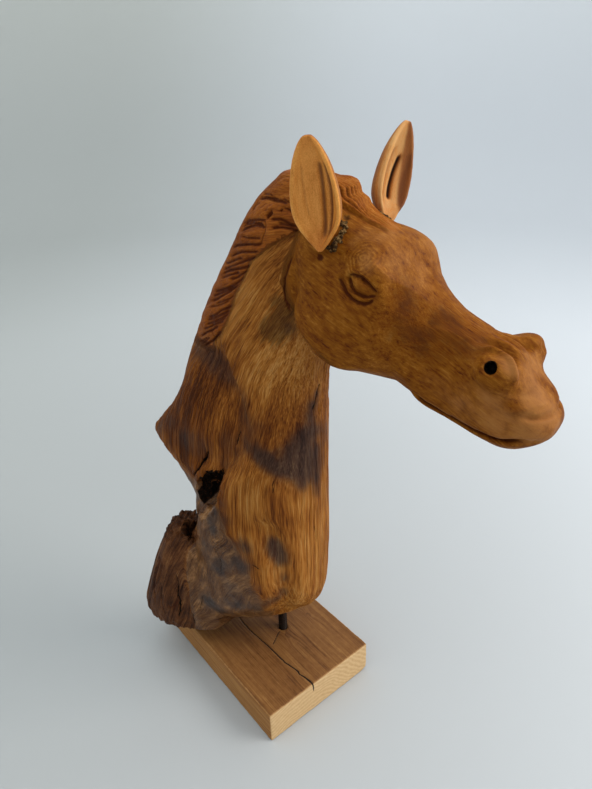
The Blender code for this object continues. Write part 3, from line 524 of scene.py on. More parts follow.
def groove(points, path, half_width, taper=0.12):
    """Depth share of a cut along a line, shallow at both ends."""
    path = np.array(path, dtype=float)
    margin = 3 * half_width
    close = np.all((points > path.min(axis=0) - margin) & (points < path.max(axis=0) + margin), axis=1)
    share = np.zeros(len(points))
    distance, place = line_distance(points[close], path)
    ends = ramp(place, -0.02, taper) * (1 - ramp(place, 1 - taper, 1.02))
    share[close] = bell(distance, half_width) * ends
    return share


class Skin:
    """Points of a mesh, in millimetres of the carving, with the carving and the marks on them."""

    def __init__(self, thing):
        self.mesh = thing.data
        self.place = (self.read(self.mesh.vertices, "co") - np.array(CARVING_ORIGIN)) / MM
        self.normal = self.read(self.mesh.vertex_normals, "vector")
        self.side = self.place[:, [0, 2]]
        self.lift = np.zeros(len(self.place))
        self.marks = {}

    @staticmethod
    def read(items, name):
        values = np.empty(len(items) * 3)
        items.foreach_get(name, values)
        return values.reshape(-1, 3)

    def noise(self, seed, size, octaves=3):
        """Smooth noise with features of so many millimetres, for all axes or for each."""
        return noise(self.place, seed, size, octaves)

    def raise_mark(self, name, values):
        """Keep the stronger of a mark and new values for it."""
        self.marks[name] = np.maximum(self.marks.get(name, 0.0), values)

    def cut(self, points, cuts, where, mark):
        """Carve lines into the skin and mark the painted shade at their bottoms."""
        for line in cuts:
            share = groove(points, line.path, line.half_width) * where
            self.lift -= share * line.depth
            self.raise_mark(mark, share * line.dark)

    def patch(self, name, seed, raggedness, spots):
        """Soft spots with ragged edges that run into each other."""
        ragged = self.noise(seed, PATCH_NOISE) * raggedness
        for *centre, radius, strength in spots:
            distance = distance_from(self.place, centre) / radius
            share = np.clip(strength * bell(np.maximum(distance + ragged, 0.0), 1.0), 0.0, 1.0)
            self.marks[name] = 1 - (1 - self.marks.get(name, 0.0)) * (1 - share)

    def store(self, node, grain):
        """Move the skin along its normals and write it back with its grain and its marks."""
        place = (self.place + self.normal * self.lift[:, None]) * MM + np.array(CARVING_ORIGIN)
        self.mesh.vertices.foreach_set("co", place.ravel())
        keep_inside(self.mesh, node)
        attribute = self.mesh.attributes.new("grain", "FLOAT_VECTOR", "POINT")
        attribute.data.foreach_set("vector", grain.astype(np.float32).ravel())
        for name, values in self.marks.items():
            attribute = self.mesh.attributes.new(name, "FLOAT", "POINT")
            attribute.data.foreach_set("value", np.clip(values, 0.0, 1.0).astype(np.float32))


def keep_inside(mesh, node):
    """Hold a mesh inside the box of the CAD node that it stands for."""
    low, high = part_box(node)
    place = np.clip(Skin.read(mesh.vertices, "co"), np.array(low) + INSET, np.array(high) - INSET)
    mesh.vertices.foreach_set("co", place.ravel())
    mesh.update()


def mesh_of(bm, name):
    """A mesh from what was built, which is then let go."""
    mesh = bpy.data.meshes.new(name)
    bm.to_mesh(mesh)
    bm.free()
    return mesh


def add_object(name, data):
    """Link data into the scene as an object."""
    thing = bpy.data.objects.new(name, data)
    bpy.context.scene.collection.objects.link(thing)
    return thing


def modify(thing, kind, **settings):
    """Add a modifier with its settings."""
    modifier = thing.modifiers.new(kind.lower(), kind)
    for name, value in settings.items():
        setattr(modifier, name, value)


def baked(thing):
    """Replace an object's mesh by the one its modifiers give."""
    graph = bpy.context.evaluated_depsgraph_get()
    mesh = bpy.data.meshes.new_from_object(thing.evaluated_get(graph))
    thing.modifiers.clear()
    thing.data = mesh
    return thing


def even_skin(thing, voxel, rounds):
    """One even, softened skin round all that an object holds."""
    modify(thing, "REMESH", mode="VOXEL", voxel_size=voxel)
    modify(thing, "SMOOTH", factor=0.5, iterations=rounds)
    return baked(thing)


def fine_copy(node, name, voxel, rounds, sharp_edges=1.0):
    """A finely meshed copy of a CAD node, its facets rounded and its sharp edges kept."""
    bm = bmesh.new()
    bm.from_mesh(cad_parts[node].data)
    bmesh.ops.remove_doubles(bm, verts=bm.verts, dist=SAME_PLACE)
    crease = bm.edges.layers.float.new("crease_edge")
    for edge in bm.edges:
        if edge.is_manifold and edge.calc_face_angle() > SHARP_ANGLE:
            edge[crease] = sharp_edges
    thing = add_object(name, mesh_of(bm, name))
    modify(thing, "SUBSURF", levels=2)
    return even_skin(thing, voxel, rounds)


def thin_to(thing, triangles, node=None):
    """Fewer faces where the skin is plain."""
    thing.data.calc_loop_triangles()
    now = len(thing.data.loop_triangles)
    if now > triangles:
        modify(thing, "DECIMATE", ratio=triangles / now)
        baked(thing)
    if node:
        keep_inside(thing.data, node)
    thing.data.shade_smooth()


class Shade:
    """A socket of a finish, with Python's arithmetic on it."""

    def __init__(self, finish, socket):
        self.finish = finish
        self.socket = socket

    def maths(self, operation, *values, clamp=False):
        settings = {"operation": operation, "use_clamp": clamp}
        return self.finish.node("ShaderNodeMath", settings, dict(enumerate(values)))

    def __add__(self, other):
        return self.maths("ADD", self, other)

    def __radd__(self, other):
        return self.maths("ADD", other, self)

    def __sub__(self, other):
        return self.maths("SUBTRACT", self, other)

    def __rsub__(self, other):
        return self.maths("SUBTRACT", other, self)

    def __mul__(self, other):
        return self.maths("MULTIPLY", self, other)

    def __rmul__(self, other):
        return self.maths("MULTIPLY", other, self)

    def clamped(self):
        return self.maths("ADD", self, 0.0, clamp=True)

    def wave(self):
        return self.maths("SINE", self)


def swayed(base, *noises):
    """A base with noises on it, each swinging about 0 and times its share."""
    for value, share in noises:
        base = base + (value - 0.5) * share
    return base


class Finish:
    """A material in the making, with one shader."""

    def __init__(self, name):
        self.material = bpy.data.materials.new(name)
        self.material.use_nodes = True
        self.tree = self.material.node_tree
        self.shader = self.tree.nodes["Principled BSDF"]

    def node(self, kind, settings=None, inputs=None, output=0):
        """Any node, from its type, its settings, and the values or links of its sockets."""
        made = self.tree.nodes.new(kind)
        for key, value in (settings or {}).items():
            if key == "stops":
                self.set_stops(made.color_ramp, value)
            else:
                setattr(made, key, value)
        for key, value in (inputs or {}).items():
            self.connect(made.inputs[key], value)
        return Shade(self, made.outputs[output])

    def connect(self, socket, value):
        if isinstance(value, Shade):
            self.tree.links.new(value.socket, socket)
        elif socket.type == "RGBA":
            socket.default_value = (*value[:3], 1.0)
        else:
            socket.default_value = value

    @staticmethod
    def set_stops(ramp_curve, stops):
        elements = ramp_curve.elements
        while len(elements) > 1:
            elements.remove(elements[-1])
        elements[0].position = stops[0][0]
        elements[0].color = (*stops[0][1], 1.0)
        for place, colour in stops[1:]:
            elements.new(place).color = (*colour, 1.0)

    def set(self, name, value):
        self.connect(self.shader.inputs[name], value)

    def mark(self, name, output="Fac"):
        """A number stored on the piece's points, or a vector."""
        return self.node("ShaderNodeAttribute", {"attribute_name": name}, output=output)

    def marks(self, names):
        """Several numbers stored on the points, by their names."""
        return SimpleNamespace(**{name: self.mark(name) for name in names.split()})

    def place(self):
        """Place in the row frame."""
        return self.node("ShaderNodeTexCoord", output="Object")

    def stretch(self, vector, scale, offset):
        """Scale a vector and shift it."""
        inputs = {"Vector": vector, "Scale": scale, "Location": offset}
        return self.node("ShaderNodeMapping", {"vector_type": "POINT"}, inputs)

    def cloud(self, vector, scale=1.0, detail=2.0, roughness=0.5, distortion=0.0):
        """Noise from 0 to 1, and mostly near the middle."""
        inputs = {"Vector": vector, "Scale": scale, "Detail": detail, "Roughness": roughness,
                  "Distortion": distortion}
        return self.node("ShaderNodeTexNoise", None, inputs)

    def noises(self, grain, table):
        """All noises of a table, by their names."""
        made = {}
        for name, (scale, detail, roughness, distortion, offset) in table.items():
            stretched = self.stretch(grain, scale, offset)
            made[name] = self.cloud(stretched, 1.0, detail, roughness, distortion)
        return SimpleNamespace(**made)

    def part_of(self, vector, axis):
        return self.node("ShaderNodeSeparateXYZ", None, {0: vector}, output=axis)

    def radius(self, vector):
        return self.node("ShaderNodeVectorMath", {"operation": "LENGTH"}, {0: vector}, output="Value")

    def rings(self, grain, scale, offset, warp, gap):
        """Year rings round an axis of the grain, from -1 to 1."""
        return ((self.radius(self.stretch(grain, scale, offset)) + warp) * (math.tau / gap)).wave()

    def step(self, value, low, high):
        """Smooth step from 0 at low to 1 at high."""
        inputs = {"Value": value, "From Min": low, "From Max": high}
        return self.node("ShaderNodeMapRange", {"interpolation_type": "SMOOTHSTEP"}, inputs)

    def ragged(self, mark, low, high, *noises):
        """Smooth step over a mark whose border wanders with noises."""
        return self.step(swayed(mark, *noises), low, high)

    def wood(self, tone, kind):
        """Colours of a kind of wood over a tone from 0 to 1."""
        colours = [linear(*colour) for colour in WOODS[kind]]
        stops = [(index / (len(colours) - 1), colour) for index, colour in enumerate(colours)]
        return self.node("ShaderNodeValToRGB", {"stops": stops}, {"Fac": tone.clamped()})

    def blend(self, share, first, second, kind="MIX"):
        """One colour over another."""
        settings = {"data_type": "RGBA", "blend_type": kind}
        return self.node("ShaderNodeMix", settings, {0: share, 6: first, 7: second}, output=2)

    def tint(self, share, first, second):
        """One colour multiplied by another."""
        return self.blend(share, first, second, "MULTIPLY")

    def finished(self, colour, roughness, specular, height):
        """The material, with its colour, its shine and a bump from a height in millimetres."""
        self.set("Base Color", colour)
        self.set("Roughness", roughness.clamped())
        self.set("Specular IOR Level", specular)
        inputs = {"Height": height, "Distance": MM, "Strength": 1.0}
        self.set("Normal", self.node("ShaderNodeBump", None, inputs, output="Normal"))
        return self.material


class CarvingSizes(bpy.types.PropertyGroup):
    """Fineness and depths of the carving."""

    skin: FloatProperty(name="Skin", description="Spacing of the horse's points before thinning",
                        default=0.00088, min=0.0005, max=0.004, unit="LENGTH")
    ear_skin: FloatProperty(name="Ear Skin", description="Spacing of an ear's points",
                            default=0.0006, min=0.0003, max=0.003, unit="LENGTH")
    board_skin: FloatProperty(name="Board Skin", description="Spacing of the board's points",
                              default=0.0009, min=0.0005, max=0.004, unit="LENGTH")
    horse_triangles: IntProperty(name="Horse Triangles", description="Most faces on the horse",
                                 default=196000, min=20000, max=199000)
    mane_depth: FloatProperty(name="Mane Depth", description="Depth of the cuts between hairs",
                              default=0.0020, min=0.0, max=0.004, unit="LENGTH")
    weathering: FloatProperty(name="Weathering", description="Strength of the trunk's fibres and tears",
                              default=1.0, min=0.0, max=2.0, subtype="FACTOR")
    thread_pitch: FloatProperty(name="Thread Pitch", description="Rise of the rod's thread a turn",
                                default=0.0015, min=0.0008, max=0.003, unit="LENGTH")


class CarvingColours(bpy.types.PropertyGroup):
    """Colours of the finishes."""

    # Painted shade at the bottom of the carved lines and in the folds
    cut: FloatVectorProperty(name="Cut", description="Bottom of the carved lines",
                             default=(0.060, 0.010, 0.002), subtype="COLOR")
    # Painted shade in the cuts of the ears' scoops
    ear_cut: FloatVectorProperty(name="Ear Cut", description="Cuts in the scoops of the ears",
                                 default=(0.110, 0.028, 0.006), subtype="COLOR")
    # Colour of the painted shade in the hollows, cracks, nostrils, ear pits and deepest ear cuts
    rot: FloatVectorProperty(name="Recess Shade", description="Inside of the hollows and cracks",
                             default=(0.008, 0.004, 0.002), subtype="COLOR")
    steel: FloatVectorProperty(name="Steel", description="Dark steel of the rod",
                               default=(0.011, 0.005, 0.002), subtype="COLOR")
    floor: FloatVectorProperty(name="Floor", description="Pale floor of the studio",
                               default=(0.93, 0.945, 0.96), subtype="COLOR")


def head_share(skin):
    """1 on the head, 0 on the neck and the trunk."""
    x, _, z = skin.place.T
    return ramp(x - read_off(CHEEK_BACK, z), -3, 4)


def carve_mane(skin):
    """Cuts between the hairs, knots and fine strands behind the mane's border."""
    x, y, z = skin.place.T
    back = read_off(MANE_FRONT, z) - x
    mane = ramp(back, -1.5, 1.5) * ramp(z, *MANE_FOOT)
    hair = np.column_stack((z + read_off(MANE_SLOPES, z) * back, y, -back))
    points = skin.side + 2.0 * (ramp(y, -1, 1) * skin.noise(11, 18, 1))[:, None]
    where = mane * (0.35 + 0.65 * ramp(np.abs(y), 1.0, 5.0))
    thin, wide = MANE_HALF_WIDTHS
    for strength, path in MANE_CUTS:
        share = groove(points, path, thin + (wide - thin) * strength, 0.15) * where
        skin.lift -= share * (0.35 + 0.65 * strength) * MANE_DEPTH
        # Painted shade at the bottom of each cut between hairs
        skin.raise_mark("cut", share * (0.55 + 0.45 * strength))
    skin.cut(points, MANE_KNOTS, where, "cut")
    skin.lift += mane * noise(hair, 12, (2.6, 9.0, 34.0), 2) * 0.16
    skin.marks["mane"] = mane
    strip = ramp(-back, -1.0, 2.0) * (1 - ramp(-back, 7.0, 15.0)) * ramp(z, 318, 330)
    skin.marks["strip"] = strip * (1 - ramp(z, 405, 425)) * ramp(np.abs(y), 6, 14)
    return hair, mane


def carve_forelock(skin):
    """Close strands on the tongue of hair that hangs between the ears."""
    x, y, z = skin.place.T
    step = np.exp(-((x - STEP_PLACE[0]) ** 2 + (z - STEP_PLACE[1]) ** 2) / STEP_WIDTH ** 2)
    skin.lift += STEP_FILL * step * (1 - ramp(np.abs(y), 8, 13))
    half_width = read_off(FORELOCK_WIDTHS, x)
    from_edge = half_width - np.abs(y)
    above = ramp(z, 426, 430) * ramp(skin.normal[:, 2] + 0.8 * skin.normal[:, 0], 0.1, 0.4)
    inside = ramp(from_edge, -0.6, 0.8) * ramp(x, 34, 48) * (1 - ramp(x, 123, 129)) * above
    phase = (y + 0.2 * skin.noise(14, (40, 20, 40), 1)) / (half_width / FORELOCK_STRANDS)
    strand = bell(phase - np.round(phase), 0.22)
    skin.lift += inside * (0.5 - 1.3 * strand)
    # Painted shade in the grooves between the strands
    skin.raise_mark("cut", 0.62 * strand * inside)
    edge = ramp(x, 66, 76) * (1 - ramp(x, 121, 126)) * above
    skin.lift += edge * 0.9 * bell(from_edge, 1.2)
    gap = edge * bell(from_edge + 2.2, 1.2)
    skin.lift -= gap * 0.8
    # Painted shadow in the groove along the forelock's edge
    skin.raise_mark("cut", 0.45 * gap)
    skin.marks["forelock"] = inside


def carve_face(skin):
    """Eyes, mouth, nostrils and the folds of the muzzle, on both sides alike."""
    x, y, z = skin.place.T
    both = np.column_stack((x, -np.abs(y), z))
    sideways = ramp(np.abs(skin.normal[:, 1]) + 0.6 * np.abs(skin.normal[:, 0]), 0.2, 0.5)
    off_middle = ramp(np.abs(y), 20, 24)
    # Painted shade at the bottoms of the eye lines and the mouth
    skin.cut(skin.side, EYE_CUTS, sideways * off_middle, "cut")
    skin.cut(skin.side, [MOUTH], sideways, "cut")
    skin.lift += groove(skin.side, LIP_EDGE, 1.5) * sideways
    ball = np.hypot((x - EYEBALL[0]) / EYEBALL_HALF[0], (z - EYEBALL[1]) / EYEBALL_HALF[1])
    skin.lift += 0.8 * (1 - ramp(ball, 0.2, 1.0)) * off_middle
    near = 1 - 0.7 * ramp(y, 6, 14)
    for path, half_width, height in FOLDS:
        fold = groove(both, path, half_width, 0.25) * near
        skin.lift += fold * height
        if height < 0:
            # Painted shade in the fold's valley
            skin.raise_mark("cut", 0.35 * fold)
    centre, outwards = np.array(NOSTRIL_AXIS)
    outwards = outwards / np.linalg.norm(outwards)
    along = (both - centre) @ outwards
    hole = distance_from(both, centre + along[:, None] * outwards)
    inward = ramp(-along, 1.5, 5.0) * (1 - ramp(-along, 22, 26))
    # Painted shade inside the nostril
    skin.raise_mark("dark", (1 - ramp(hole, *NOSTRIL_EDGE)) * inward)
    skin.lift -= 2.6 * bell(distance_from(skin.place, FAR_NOSTRIL), 5.0)
    foot = distance_from(both, EAR_NOTCH)
    skin.lift -= 1.2 * bell(foot, 1.6)
    # Painted shade in the notch at the ear's foot
    skin.raise_mark("cut", 0.8 * (1 - ramp(foot, 1.2, 3.6)))
    skin.lift -= 1.6 * bell(distance_from(both, LIP_NOTCH), 2.6)
    pit = distance_from(both, EAR_PIT)
    ragged = skin.noise(15, 4, 2)
    skin.lift -= 1.8 * bell(pit + 1.2 * ragged, 2.8)
    # Painted shade in the pit at the ear's foot
    skin.raise_mark("dark", 0.42 * (1 - ramp(pit + 1.5 * ragged, 1.6, 4.4)))
    brow = distance_from(both, BROW_KNOT)
    skin.marks["brow"] = 1 - ramp(brow, 5.0, 19.0)
    skin.marks["ring"] = brow / BROW_REACH


def hollow_reach(skin, centre, radii, pitch):
    """1 on the wall of a hollow, less inside it and more outside."""
    turn = np.array(Matrix.Rotation(math.radians(pitch), 3, "Y"))
    return np.linalg.norm((skin.place - np.array(centre)) @ turn / np.array(radii), axis=1)


def root_and_burl(skin):
    """Share of the torn root and of the knotty burl in front of it."""
    x, y, z = skin.place.T
    root = ramp(read_off(ROOT_EDGE, z) - x, -2, 3) * ramp(-y, 20, 34) * (1 - ramp(z, 128, 138))
    root = np.maximum(root, ramp(-60 - x, 0, 14) * (1 - ramp(z, 128, 140)))
    front = read_off(BURL_FRONT, z) + 5 * skin.noise(21, 16, 2)
    burl = ramp(-y, 0, 12) * (1 - root) * ramp(front - x, -7, 7) * (1 - ramp(z, *BURL_TOP))
    return root, burl * ramp(-y, 24, 40)


def carve_trunk(skin, head, mane, root, burl):
    """Long fibres on the trunk, whirls on the burl, and the torn root."""
    z = skin.place[:, 2]
    upright = long_fibres(skin, root)
    coarse = noise(upright, 22, (6.5, 6.5, 140.0), 2)
    fine = noise(upright, 23, (2.6, 2.6, 70.0), 2)
    facets = skin.noise(24, (24, 24, 70), 2)
    swirl = skin.noise(25, (10, 10, 15), 3)
    plain = (1 - head) * (1 - mane) * (1 - root)
    skin.lift += plain * (1 - 0.6 * burl) * (coarse * 0.50 + fine * 0.42 + facets * 0.9)
    skin.lift += burl * swirl * 0.6
    ripple = distance_from(skin.place, BURL_EYE)
    wave = np.sin((ripple + 1.6 * swirl) * math.tau / BURL_RIPPLE_GAP)
    wave *= 1 - ramp(ripple, *BURL_RIPPLES)
    skin.lift += burl * wave * 0.28
    gnarl = noise(upright, 26, (7.0, 7.0, 60.0), 1)
    fissure = bell(gnarl, 0.06) * ramp(skin.noise(35, (9, 9, 30), 1), -0.2, 0.3)
    skin.lift += root * (gnarl + coarse * 0.6 - fissure * 1.1)
    # Painted shade in the root's fissures
    skin.raise_mark("cut", 0.5 * root * fissure)
    shred = skin.noise(27, (4.5, 4.5, 11), 3)
    top = root * ramp(z, 100, 118)
    spikes = skin.noise(36, (4.5, 4.5, 60.0), 2)
    skin.lift += top * ramp(skin.normal[:, 2], 0.0, 0.6) * 3.2 * spikes
    skin.lift += (top * 1.4 + root * (1 - ramp(z, 6, 22)) * 1.2) * shred
    return shred


def carve_cracks(skin, head):
    """Cracks, which wander a little, on the near side and on the front, with painted shade in them."""
    x, y, _ = skin.place.T
    wander = np.column_stack((skin.noise(28, (5, 5, 7), 2), np.zeros(len(x))))
    side = skin.side + wander
    sideways = ramp(-skin.normal[:, 1] + 0.7 * np.abs(skin.normal[:, 0]), 0.1, 0.4)
    skin.cut(side, CRACKS, ramp(-y, 0, 12) * sideways * (1 - head), "dark")
    # Painted shade in the gap behind the cheek
    skin.cut(side, CHEEK_GAP, ramp(np.abs(y), 22, 26) * (1 - ramp(np.abs(y), 48, 52)), "cut")
    facing = skin.place[:, [1, 2]] + 0.8 * wander
    skin.cut(facing, FRONT_CRACKS, ramp(skin.normal[:, 0], 0.3, 0.6) * ramp(x, 30, 40), "dark")


def carve_hollows(skin, shred):
    """Torn edges of the hollows, and painted shade inside them that is left off the wall the light
    reaches.
    """
    x, _, z = skin.place.T
    # Distance behind the slanting line at which light stops falling on the large hollow's wall
    beyond = ((z - 158) * 35 - (x + 50) * 50) / 61 + 1.2 * shred
    lit = ramp(z, 140, 146) * (1 - ramp(beyond, -3.0, 1.0))
    for centre, radii, pitch, dark, rim in HOLLOWS:
        reach = hollow_reach(skin, centre, radii, pitch)
        # Painted shade inside the hollow, but not on its lit wall
        skin.raise_mark("rot", (1 - ramp(reach + 0.10 * shred, 0.98, 1.10)) * (1 - lit) * dark)
        skin.lift += bell(reach - 0.95, 0.25) * shred * 1.9
        skin.lift += rim * (1 - ramp(reach, 1.0, 1.15))


def long_fibres(skin, root):
    """Place across and along the fibres, which run on over the swellings of the trunk."""
    x, y, z = skin.place.T
    lean = read_off(LEAN, z) * (1 + 0.8 * ramp(-x, 0, 60)) - root * 0.35 * (130 - z)
    across = x - lean + 3.0 * skin.noise(30, (45, 45, 60), 1)
    front = ramp(across, 20, 40) * (across - 30)
    across = across - front + 25 * np.tanh(front / 25)
    return np.column_stack((across, 50 * np.tanh(y / 32), z))


def carve_horse(thing, sizes):
    """Fine carving, weathering and the marks for the finish."""
    skin = Skin(thing)
    x, y, z = skin.place.T
    head = head_share(skin)
    hair, mane = carve_mane(skin)
    skin.lift *= sizes.mane_depth / MM / MANE_DEPTH
    carve_forelock(skin)
    carve_face(skin)
    carved = skin.lift.copy()
    root, burl = root_and_burl(skin)
    shred = carve_trunk(skin, head, mane, root, burl)
    carve_cracks(skin, head)
    carve_hollows(skin, shred)
    skin.lift = carved + (skin.lift - carved) * sizes.weathering
    skin.lift += (head * 0.22 + mane * 0.35) * skin.noise(29, 15, 2)

    upright = long_fibres(skin, root)
    upright[:, 0] += burl * (12 * skin.noise(31, (30, 30, 40), 1) - 0.5 * (z - 110))
    down, forwards = HEAD_GRAIN
    along = np.column_stack((down * x + forwards * z + 40, y, forwards * x - down * z))
    grain = upright + (along - upright) * head[:, None]
    grain = grain + (hair - grain) * mane[:, None]
    skin.marks.update(head=head, root=root, burl=burl)
    for name, (seed, raggedness, spots) in PATCHES.items():
        skin.patch(name, seed, raggedness, spots)
    skin.store("horse_head", grain)


def horse_finish(colours):
    """Oiled wood with its grain and stains, painted shade in its carved lines and hollows, and patches of
    painted light, shade and sheen.
    """
    finish = Finish("carved_wood")
    grain = finish.mark("grain", "Vector")
    noises = finish.noises(grain, HORSE_NOISES)
    cloud, fibre, hair, mottle = noises.cloud, noises.fibre, noises.hair, noises.mottle
    mark = finish.marks("head mane forelock strip burl root ring brow cut dark rot " + " ".join(PATCHES))
    head = mark.head
    split = finish.step(noises.split, 0.56, 0.68)
    pores = finish.step(noises.pores, 0.64, 0.74)
    rings = finish.rings(grain, (1.0, 1.0, 0.0), (-6.0, 14.0, 0.0), 40.0 * noises.warp, TRUNK_RING_GAP)
    whirl = (mark.ring * (BROW_REACH * math.tau / BROW_RING_GAP) + cloud * 14.0).wave() * mark.brow

    tone = swayed(0.48, (noises.streak, 0.70), (fibre, 0.75), (hair, 1.0), (noises.broad, 1.0))
    # Painted light on the front column and the lobe tops over partly golden wood, and painted shade on the
    # trunk's back left
    bright = tone + (mark.gold * 0.32 - mark.dim * 0.34) + mark.strip * 0.22
    calm = swayed(0.50, (cloud, 1.0), (mottle, 1.2), (fibre, 0.6)) + rings * 0.04 + whirl * 0.22
    knotty = swayed(0.50, (cloud, 2.2), (noises.crumble, 1.2), (fibre, 0.6), (hair, 0.5))
    wood = finish.blend(head, finish.wood(bright, "trunk"), finish.wood(swayed(calm, (hair, 0.7)), "head"))
    combed = finish.wood(tone * 0.7 + 0.12 + mark.forelock * 0.16, "mane")
    wood = finish.blend((mark.mane + mark.forelock * 0.8).clamped(), wood, combed)
    wood = finish.blend(mark.strip * 0.35, wood, STRIP_COLOUR)
    burl = finish.ragged(mark.burl, 0.25, 1.05, (cloud, 1.2))
    wood = finish.blend(burl * 0.88, wood, finish.wood(knotty, "burl"))
    torn = finish.wood(swayed(tone * 0.95, (cloud, 1.3), (noises.crumble, 0.7)), "root")
    wood = finish.blend(mark.root, wood, torn)
    olive = finish.ragged(mark.olive, 0.15, 0.7, (fibre, 0.9))
    wood = finish.blend(olive * 0.6, wood, OLIVE_COLOUR)
    smudge = finish.ragged(mark.smudge * 0.8, 0.20, 1.05, (cloud, 1.1), (mottle, 1.2))
    wood = finish.blend(smudge * 0.88, wood, SMUDGE_COLOUR)
    # Paler patches, partly painted sheen and highlights
    pale = finish.ragged(mark.pale, 0.1, 0.9, (cloud, 0.9))
    wood = finish.blend(pale * 0.62, wood, PALE_SHEEN_COLOUR)
    stain = finish.ragged(mark.stain, 0.02, 1.05, (fibre, 0.5), (hair, 0.4))
    wood = finish.blend(stain * 0.90, wood, finish.wood(tone * 0.9, "stain"))
    wood = finish.tint(pores * (0.40 - 0.15 * head), wood, (0.38, 0.28, 0.20))
    wood = finish.tint(split * (0.42 - 0.28 * head - 0.15 * mark.mane), wood, (0.46, 0.36, 0.28))
    # Painted shade at the bottoms of the carved lines
    cut = finish.step(mark.cut, 0.10, 0.80)
    wood = finish.blend(cut * 0.88, wood, colours.cut)
    # Painted shade inside the nostrils, ear pits and cracks
    wood = finish.blend(finish.step(mark.dark, 0.18, 0.60), wood, colours.rot)
    # Painted shade inside the hollows, with fibres showing through it
    rot = finish.ragged(mark.rot, 0.25, 0.75, (hair, 0.7))
    shaded_hollow = finish.blend(finish.step(fibre, 0.54, 0.68) * 0.7, colours.rot, HOLLOW_FIBRE_COLOUR)
    wood = finish.blend(rot, wood, shaded_hollow)

    gloss = mark.burl * 0.35 + mark.root * 0.12 + mark.stain * 0.10 + 0.02 - rot * 0.4 - cut * 0.1
    finish.set("Coat Weight", gloss.clamped())
    finish.set("Coat Roughness", 0.30)
    rough = swayed(0.56, (fibre, 0.2)) + rot * 0.25 + mark.root * 0.1
    height = swayed(0.0, (noises.streak, 1.1 - 1.05 * head), (fibre, 0.75 - 0.65 * head),
                    (hair, 0.40 - 0.32 * head),
                    (noises.crumble, mark.burl * 1.1 + mark.root * 1.5 + rot * 2.0))
    height = height - split * (0.35 - 0.31 * head) - pores * (0.12 - 0.08 * head)
    return finish.finished(wood, rough, 0.05, height)


def ear_matrix(foot, tip, facing):
    """Place of an ear's own frame: Z to its tip, Y the way the scoop faces."""
    start = CARVING_ORIGIN + Vector(foot) * MM
    up = (Vector(tip) - Vector(foot)).normalized()
    heading = math.radians(facing)
    face = Vector((math.cos(heading), math.sin(heading), 0.0))
    face = (face - up * face.dot(up)).normalized()
    turn = Matrix((face.cross(up), face, up)).transposed().to_4x4()
    return Matrix.Translation(start) @ turn


def carve_ear(thing, node):
    """Soft scoop, the cuts beside its deep rim, and fine tool marks."""
    skin = Skin(thing)
    matrix = ear_matrix(*EARS[node])
    turn = np.array(matrix.to_3x3())
    world = skin.place * MM + np.array(CARVING_ORIGIN)
    local = (world - np.array(matrix.translation)) @ turn / MM
    front = (skin.normal @ turn)[:, 1]
    inside = ramp(front, 0.0, 0.5)
    # Cut lines in the scoop, with painted shade at their bottoms
    skin.cut(local[:, [0, 2]], EAR_CUTS[node], ramp(front, -0.3, 0.2), "cut")
    skin.lift += noise(local, 33, (8.0, 8.0, 20.0), 2) * 0.20
    far = 1.0 if node == "left_ear" else 0.0
    skin.marks["band"] = far * ramp(read_off(EAR_BAND, local[:, 2]) - local[:, 0], -1.2, 1.2)
    # The far ear's open side, greyer and lighter, partly painted light
    open_side = ramp(front, -0.5, 0.1)
    skin.marks["grey"] = far * open_side
    skin.marks["scoop"] = inside + far * (open_side - inside)
    skin.store(node, local)


def ear_finish(colours):
    """Lighter wood with a close, straight grain."""
    finish = Finish("ear_wood")
    grain = finish.mark("grain", "Vector")
    noises = finish.noises(grain, EAR_NOISES)
    fibre, thread, broad, fleck = noises.fibre, noises.thread, noises.broad, noises.fleck
    mark = finish.marks("scoop grey band cut")
    tone = swayed(0.50, (fibre, 0.5), (broad, 1.0), (fleck, 1.1), (thread, 0.3))
    # The ear's back in darker wood than its scoop, partly painted shade
    outer = finish.wood(tone, "ear back")
    wood = finish.blend(mark.scoop, outer, finish.wood(tone, "ear"))
    # The far ear's open side greyer and lighter, partly painted light
    grey = finish.ragged(mark.grey, 0.45, 1.15, (fibre, 1.4), (broad, 0.8))
    wood = finish.blend(grey * 0.75, wood, GREY_LIT_EAR_COLOUR)
    wood = finish.blend(mark.band * 0.85, wood, finish.tint(1.0, outer, (0.62, 0.44, 0.24)))
    height = finish.part_of(grain, "Z")
    foot = finish.ragged(height, 22.0, -2.0, (broad, 26.0))
    wood = finish.tint(foot * 0.6, wood, (0.66, 0.45, 0.26))
    tip = finish.ragged(height, 60.0, 78.0, (broad, 16.0))
    wood = finish.tint(tip * 0.5, wood, (0.72, 0.52, 0.32))
    # Painted shade in the ear's cuts, darkest where they are deepest
    wood = finish.blend(finish.step(mark.cut, 0.10, 0.75) * 0.90, wood, colours.ear_cut)
    wood = finish.blend(finish.step(mark.cut, 0.72, 0.92) * 0.9, wood, colours.rot)
    relief = swayed(0.0, (fibre, 0.16), (thread, 0.08), (fleck, 0.10))
    return finish.finished(wood, swayed(0.55, (fibre, 0.2)), 0.20, relief)


def paste_finish():
    """Glue mixed with sawdust: crumbly and grey-brown, with dark gaps."""
    finish = Finish("glue_and_sawdust")
    place = finish.place()
    crumb = finish.cloud(place, 700.0, detail=3.0, roughness=0.7)
    blot = finish.cloud(place, 260.0)
    paste = finish.blend(finish.step(crumb, 0.38, 0.66), GLUE_COLOUR, SAWDUST_COLOUR)
    paste = finish.blend(finish.step(blot, 0.48, 0.60) * 0.85, paste, GLUE_GAP_COLOUR)
    return finish.finished(paste, swayed(0.70, (crumb, 0.4)), 0.08, swayed(0.0, (crumb, 0.8)))


